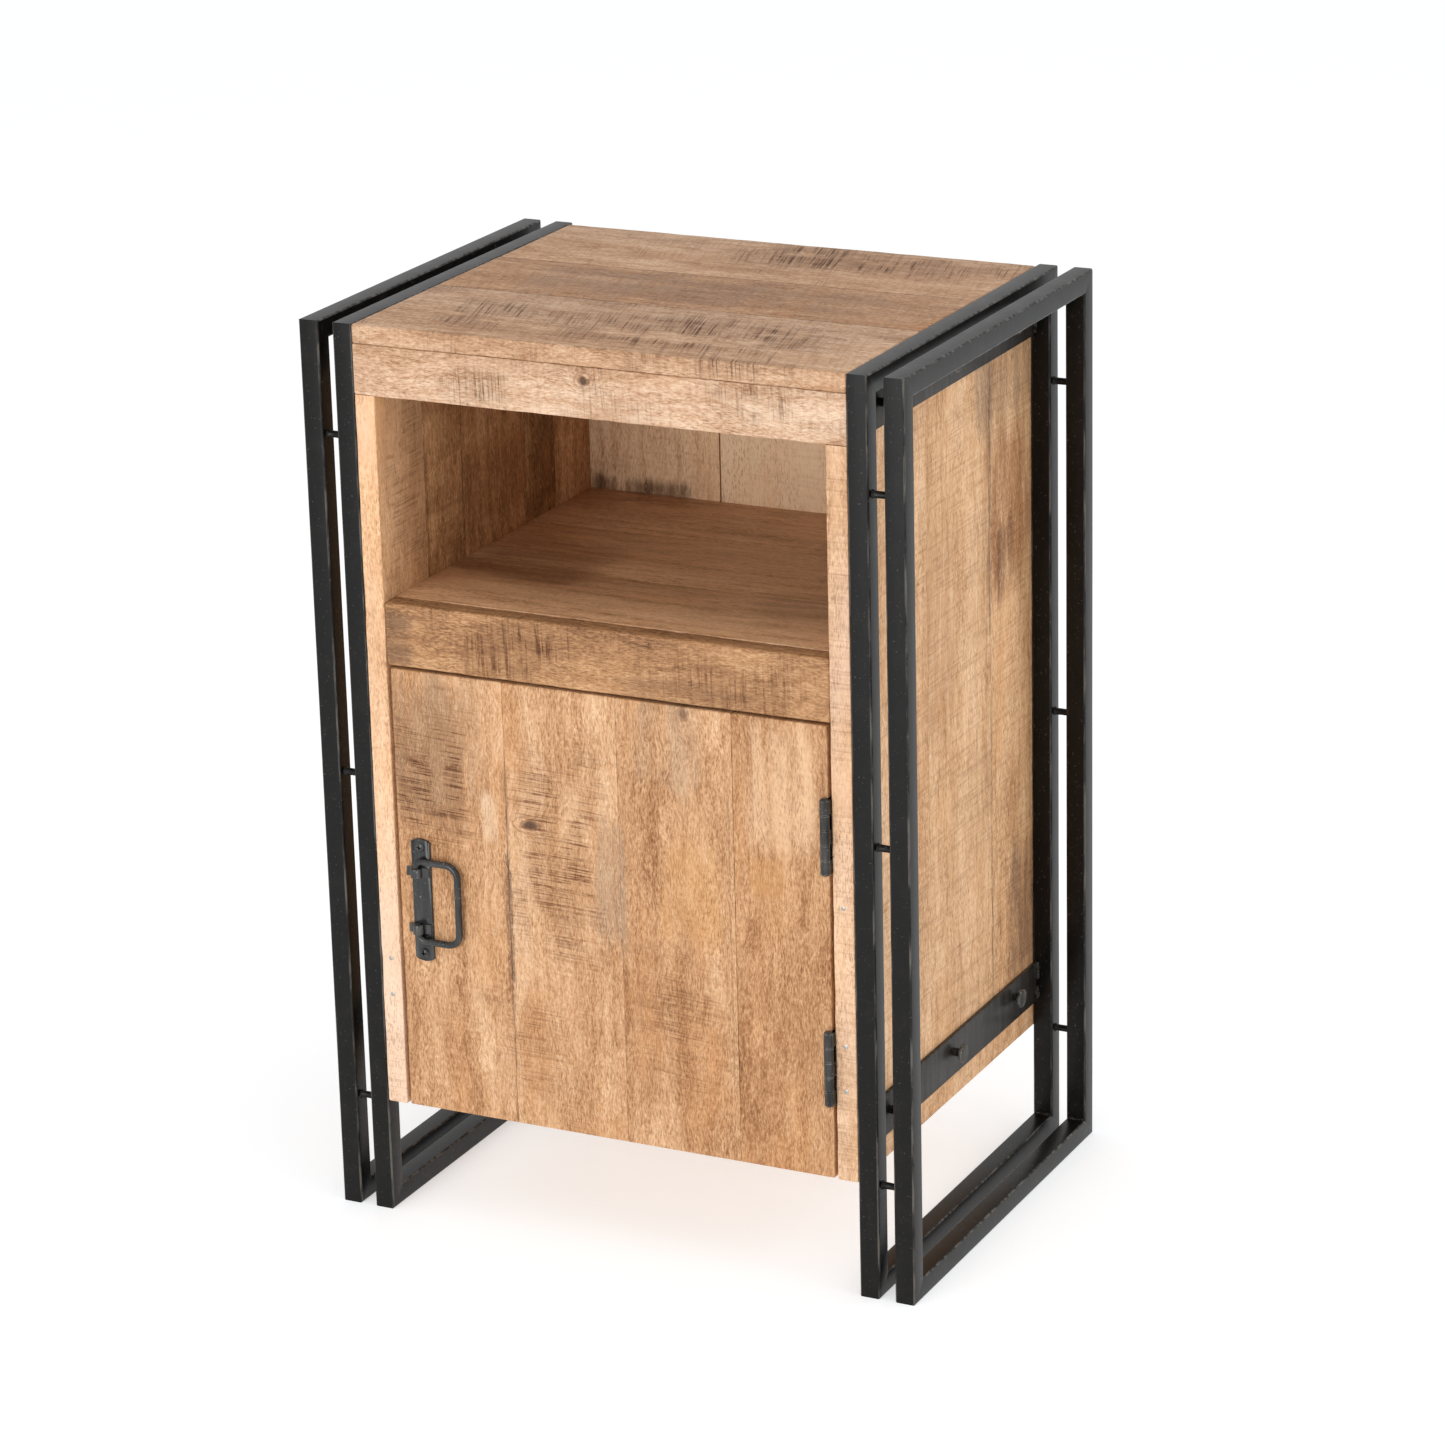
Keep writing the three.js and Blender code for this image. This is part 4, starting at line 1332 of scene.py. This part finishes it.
def pivot_loop(level, seed):
    """A strip hammered over the bail's end, its feet on the plate."""
    node = f"handle_loop_{level}"
    low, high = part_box(node)
    bail_low, bail_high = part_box("handle_bail")
    rod = (bail_high.y - bail_low.y) / 2
    pivot_x, pivot_y = bail_low.x + rod, (bail_low.y + bail_high.y) / 2
    outer = pivot_y - low.y
    strip = 1.5 * MM
    inner = outer - strip
    foot = high.y
    outline = [(low.x, foot), (low.x, foot - strip), (pivot_x - outer, foot - strip)]
    outline += arc(pivot_x, pivot_y, outer, 180, 360, 14)
    outline += [(pivot_x + outer, foot - strip), (high.x, foot - strip), (high.x, foot)]
    outline += [(pivot_x + inner, foot)] + arc(pivot_x, pivot_y, inner, 360, 180, 14)
    outline += [(pivot_x - inner, foot)]
    points = [Vector((x, y, 0)) for x, y in outline]
    mesh = outline_solid(points, "z", low.z, high.z - low.z, 0.3 * MM)
    for vert in mesh.verts:
        if vert.co.y < foot - strip * 1.2:
            swell = noise.noise(vert.co * 260.0 + Vector((seed, 0, 0)))
            away = Vector((vert.co.x - pivot_x, vert.co.y - pivot_y, 0)).normalized()
            vert.co += away * max(0.0, swell) * 0.9 * MM
            vert.co.z += noise.noise(vert.co * 200.0 + Vector((0, seed, 0))) * 0.5 * MM
    with_edge(mesh, 0.75)
    steel_piece(node + "_strip", mesh, "handle", "door", (node,))


def cross_screw(level):
    node = f"handle_screw_{level}"
    low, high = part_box(node)
    x, z = (low.x + high.x) / 2, (low.z + high.z) / 2
    radius = (high.x - low.x) / 2
    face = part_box("handle_plate")[0].y
    head = face - low.y
    profile = [(high.y - face, 0.0), (high.y - face - 2 * MM, 2 * MM), (0.0, 2 * MM), (0.0, radius)]
    dome = [(-head * 0.30, 1.0), (-head * 0.62, 0.86), (-head * 0.85, 0.62), (-head * 0.97, 0.3)]
    profile += [(along, radius * factor) for along, factor in dome] + [(-head, 0.0)]
    mesh = turned(profile, "y", (x, face, z), sides=32)
    half, reach, floor = 0.55 * MM, 2.7 * MM, face - head * 0.45
    cuts = [
        ((x - half, low.y - 1 * MM, z - reach), (x + half, floor, z + reach)),
        ((x - reach, low.y - 1 * MM, z - half), (x + reach, floor, z + half)),
    ]
    mesh = cut_away(mesh, cuts)
    with_edge(mesh, 0.45)
    steel_piece(node + "_cross", mesh, "handle", "door", (node,))


handle_plate()
bail()
for number, level in enumerate(LEVELS):
    pivot_loop(level, 5.0 + 8.0 * number)
    cross_screw(level)


# ------------------------------------------------------------------ catch


def catch():
    low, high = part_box("catch_body")
    body = soft_box(low, high, 1.2 * MM, 3)
    finished("catch_body_moulding", body, catch_plastic, "cabinet", ("catch_body",), "catch_plastic")
    strike_low, strike_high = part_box("strike_plate")
    strike = soft_box(strike_low, strike_high, 0.4 * MM)
    finished("strike_plate_pressed", strike, zinc_plate, "door", ("strike_plate",), "zinc_steel")
    # Two pole plates stand a hair out of the catch's face, towards the strike plate.
    tall = high.z - low.z
    poles = []
    for fraction in (0.32, 0.68):
        z = low.z + tall * fraction
        pole_low = (low.x + 2.5 * MM, low.y - 0.3 * MM, z - 5 * MM)
        pole_high = (high.x - 2.5 * MM, low.y + 6 * MM, z + 5 * MM)
        poles.append(soft_box(pole_low, pole_high, 0.3 * MM))
    finished("catch_poles", gather(poles), zinc_plate, "cabinet", (), "zinc_steel")


catch()

# ------------------------------------------------------------------ studio

FLOOR_REACH = 40.0
WORLD_STRENGTH = 0.80


def studio_floor():
    mesh = bpy.data.meshes.new("studio_floor")
    reach = FLOOR_REACH
    corners = [(-reach, -reach, 0), (reach, -reach, 0), (reach, reach, 0), (-reach, reach, 0)]
    mesh.from_pydata(corners, [], [(0, 1, 2, 3)])
    paper = Finish("white_paper")
    paper.set(base_color=(0.60, 0.613, 0.628), roughness=0.9, specular_ior_level=0.1)
    paper.set(emission_color=(1.0, 1.0, 1.0), emission_strength=0.50)
    mesh.materials.append(paper.material)
    linked("studio_floor", mesh)


def soft_light(name, aim, azimuth, elevation, distance, size, power):
    """A square softbox that looks at a point. Azimuth 0 is in front, 90 to the right."""
    data = bpy.data.lights.new(name, "AREA")
    data.shape = "SQUARE"
    data.size = size
    data.energy = power
    light = linked(name, data)
    a, e = math.radians(azimuth), math.radians(elevation)
    out = Vector((math.sin(a) * math.cos(e), -math.cos(a) * math.cos(e), math.sin(e)))
    light.location = aim + out * distance
    light.rotation_mode = "QUATERNION"
    light.rotation_quaternion = out.to_track_quat("Z", "Y")


studio_floor()
centre = (cad_low + cad_high) / 2
soft_light("key_softbox", centre, -8, 9, 3.2, 1.7, 42)
soft_light("side_softbox", centre, 88, 22, 3.4, 2.2, 30)
soft_light("top_softbox", centre, 10, 75, 3.0, 2.4, 8)

world = bpy.data.worlds.new("studio")
scene.world = world
world.use_nodes = True
world.node_tree.nodes["Background"].inputs["Color"].default_value = (1, 1, 1, 1)
world.node_tree.nodes["Background"].inputs["Strength"].default_value = WORLD_STRENGTH
scene.view_settings.view_transform = "Standard"

# ------------------------------------------------------------------ camera


def camera():
    """A long lens from the right and a little above, rolled by a degree or so."""
    azimuth, elevation, roll = math.radians(26.55), math.radians(18.69), math.radians(-1.43)
    distance = 4.676
    aim = centre + Vector((6.6, 15.4, 17.6)) * MM
    back = Vector((math.sin(azimuth) * math.cos(elevation),
                   -math.cos(azimuth) * math.cos(elevation), math.sin(elevation)))
    data = bpy.data.cameras.new("camera")
    data.sensor_width = 36.0
    data.lens = 123.4
    data.clip_start, data.clip_end = 0.1, 60.0
    piece = linked("camera", data)
    piece.location = aim + back * distance
    piece.rotation_mode = "QUATERNION"
    level = (-back).to_track_quat("-Z", "Y")
    piece.rotation_quaternion = level @ Quaternion((0, 0, 1), roll)
    scene.camera = piece


camera()
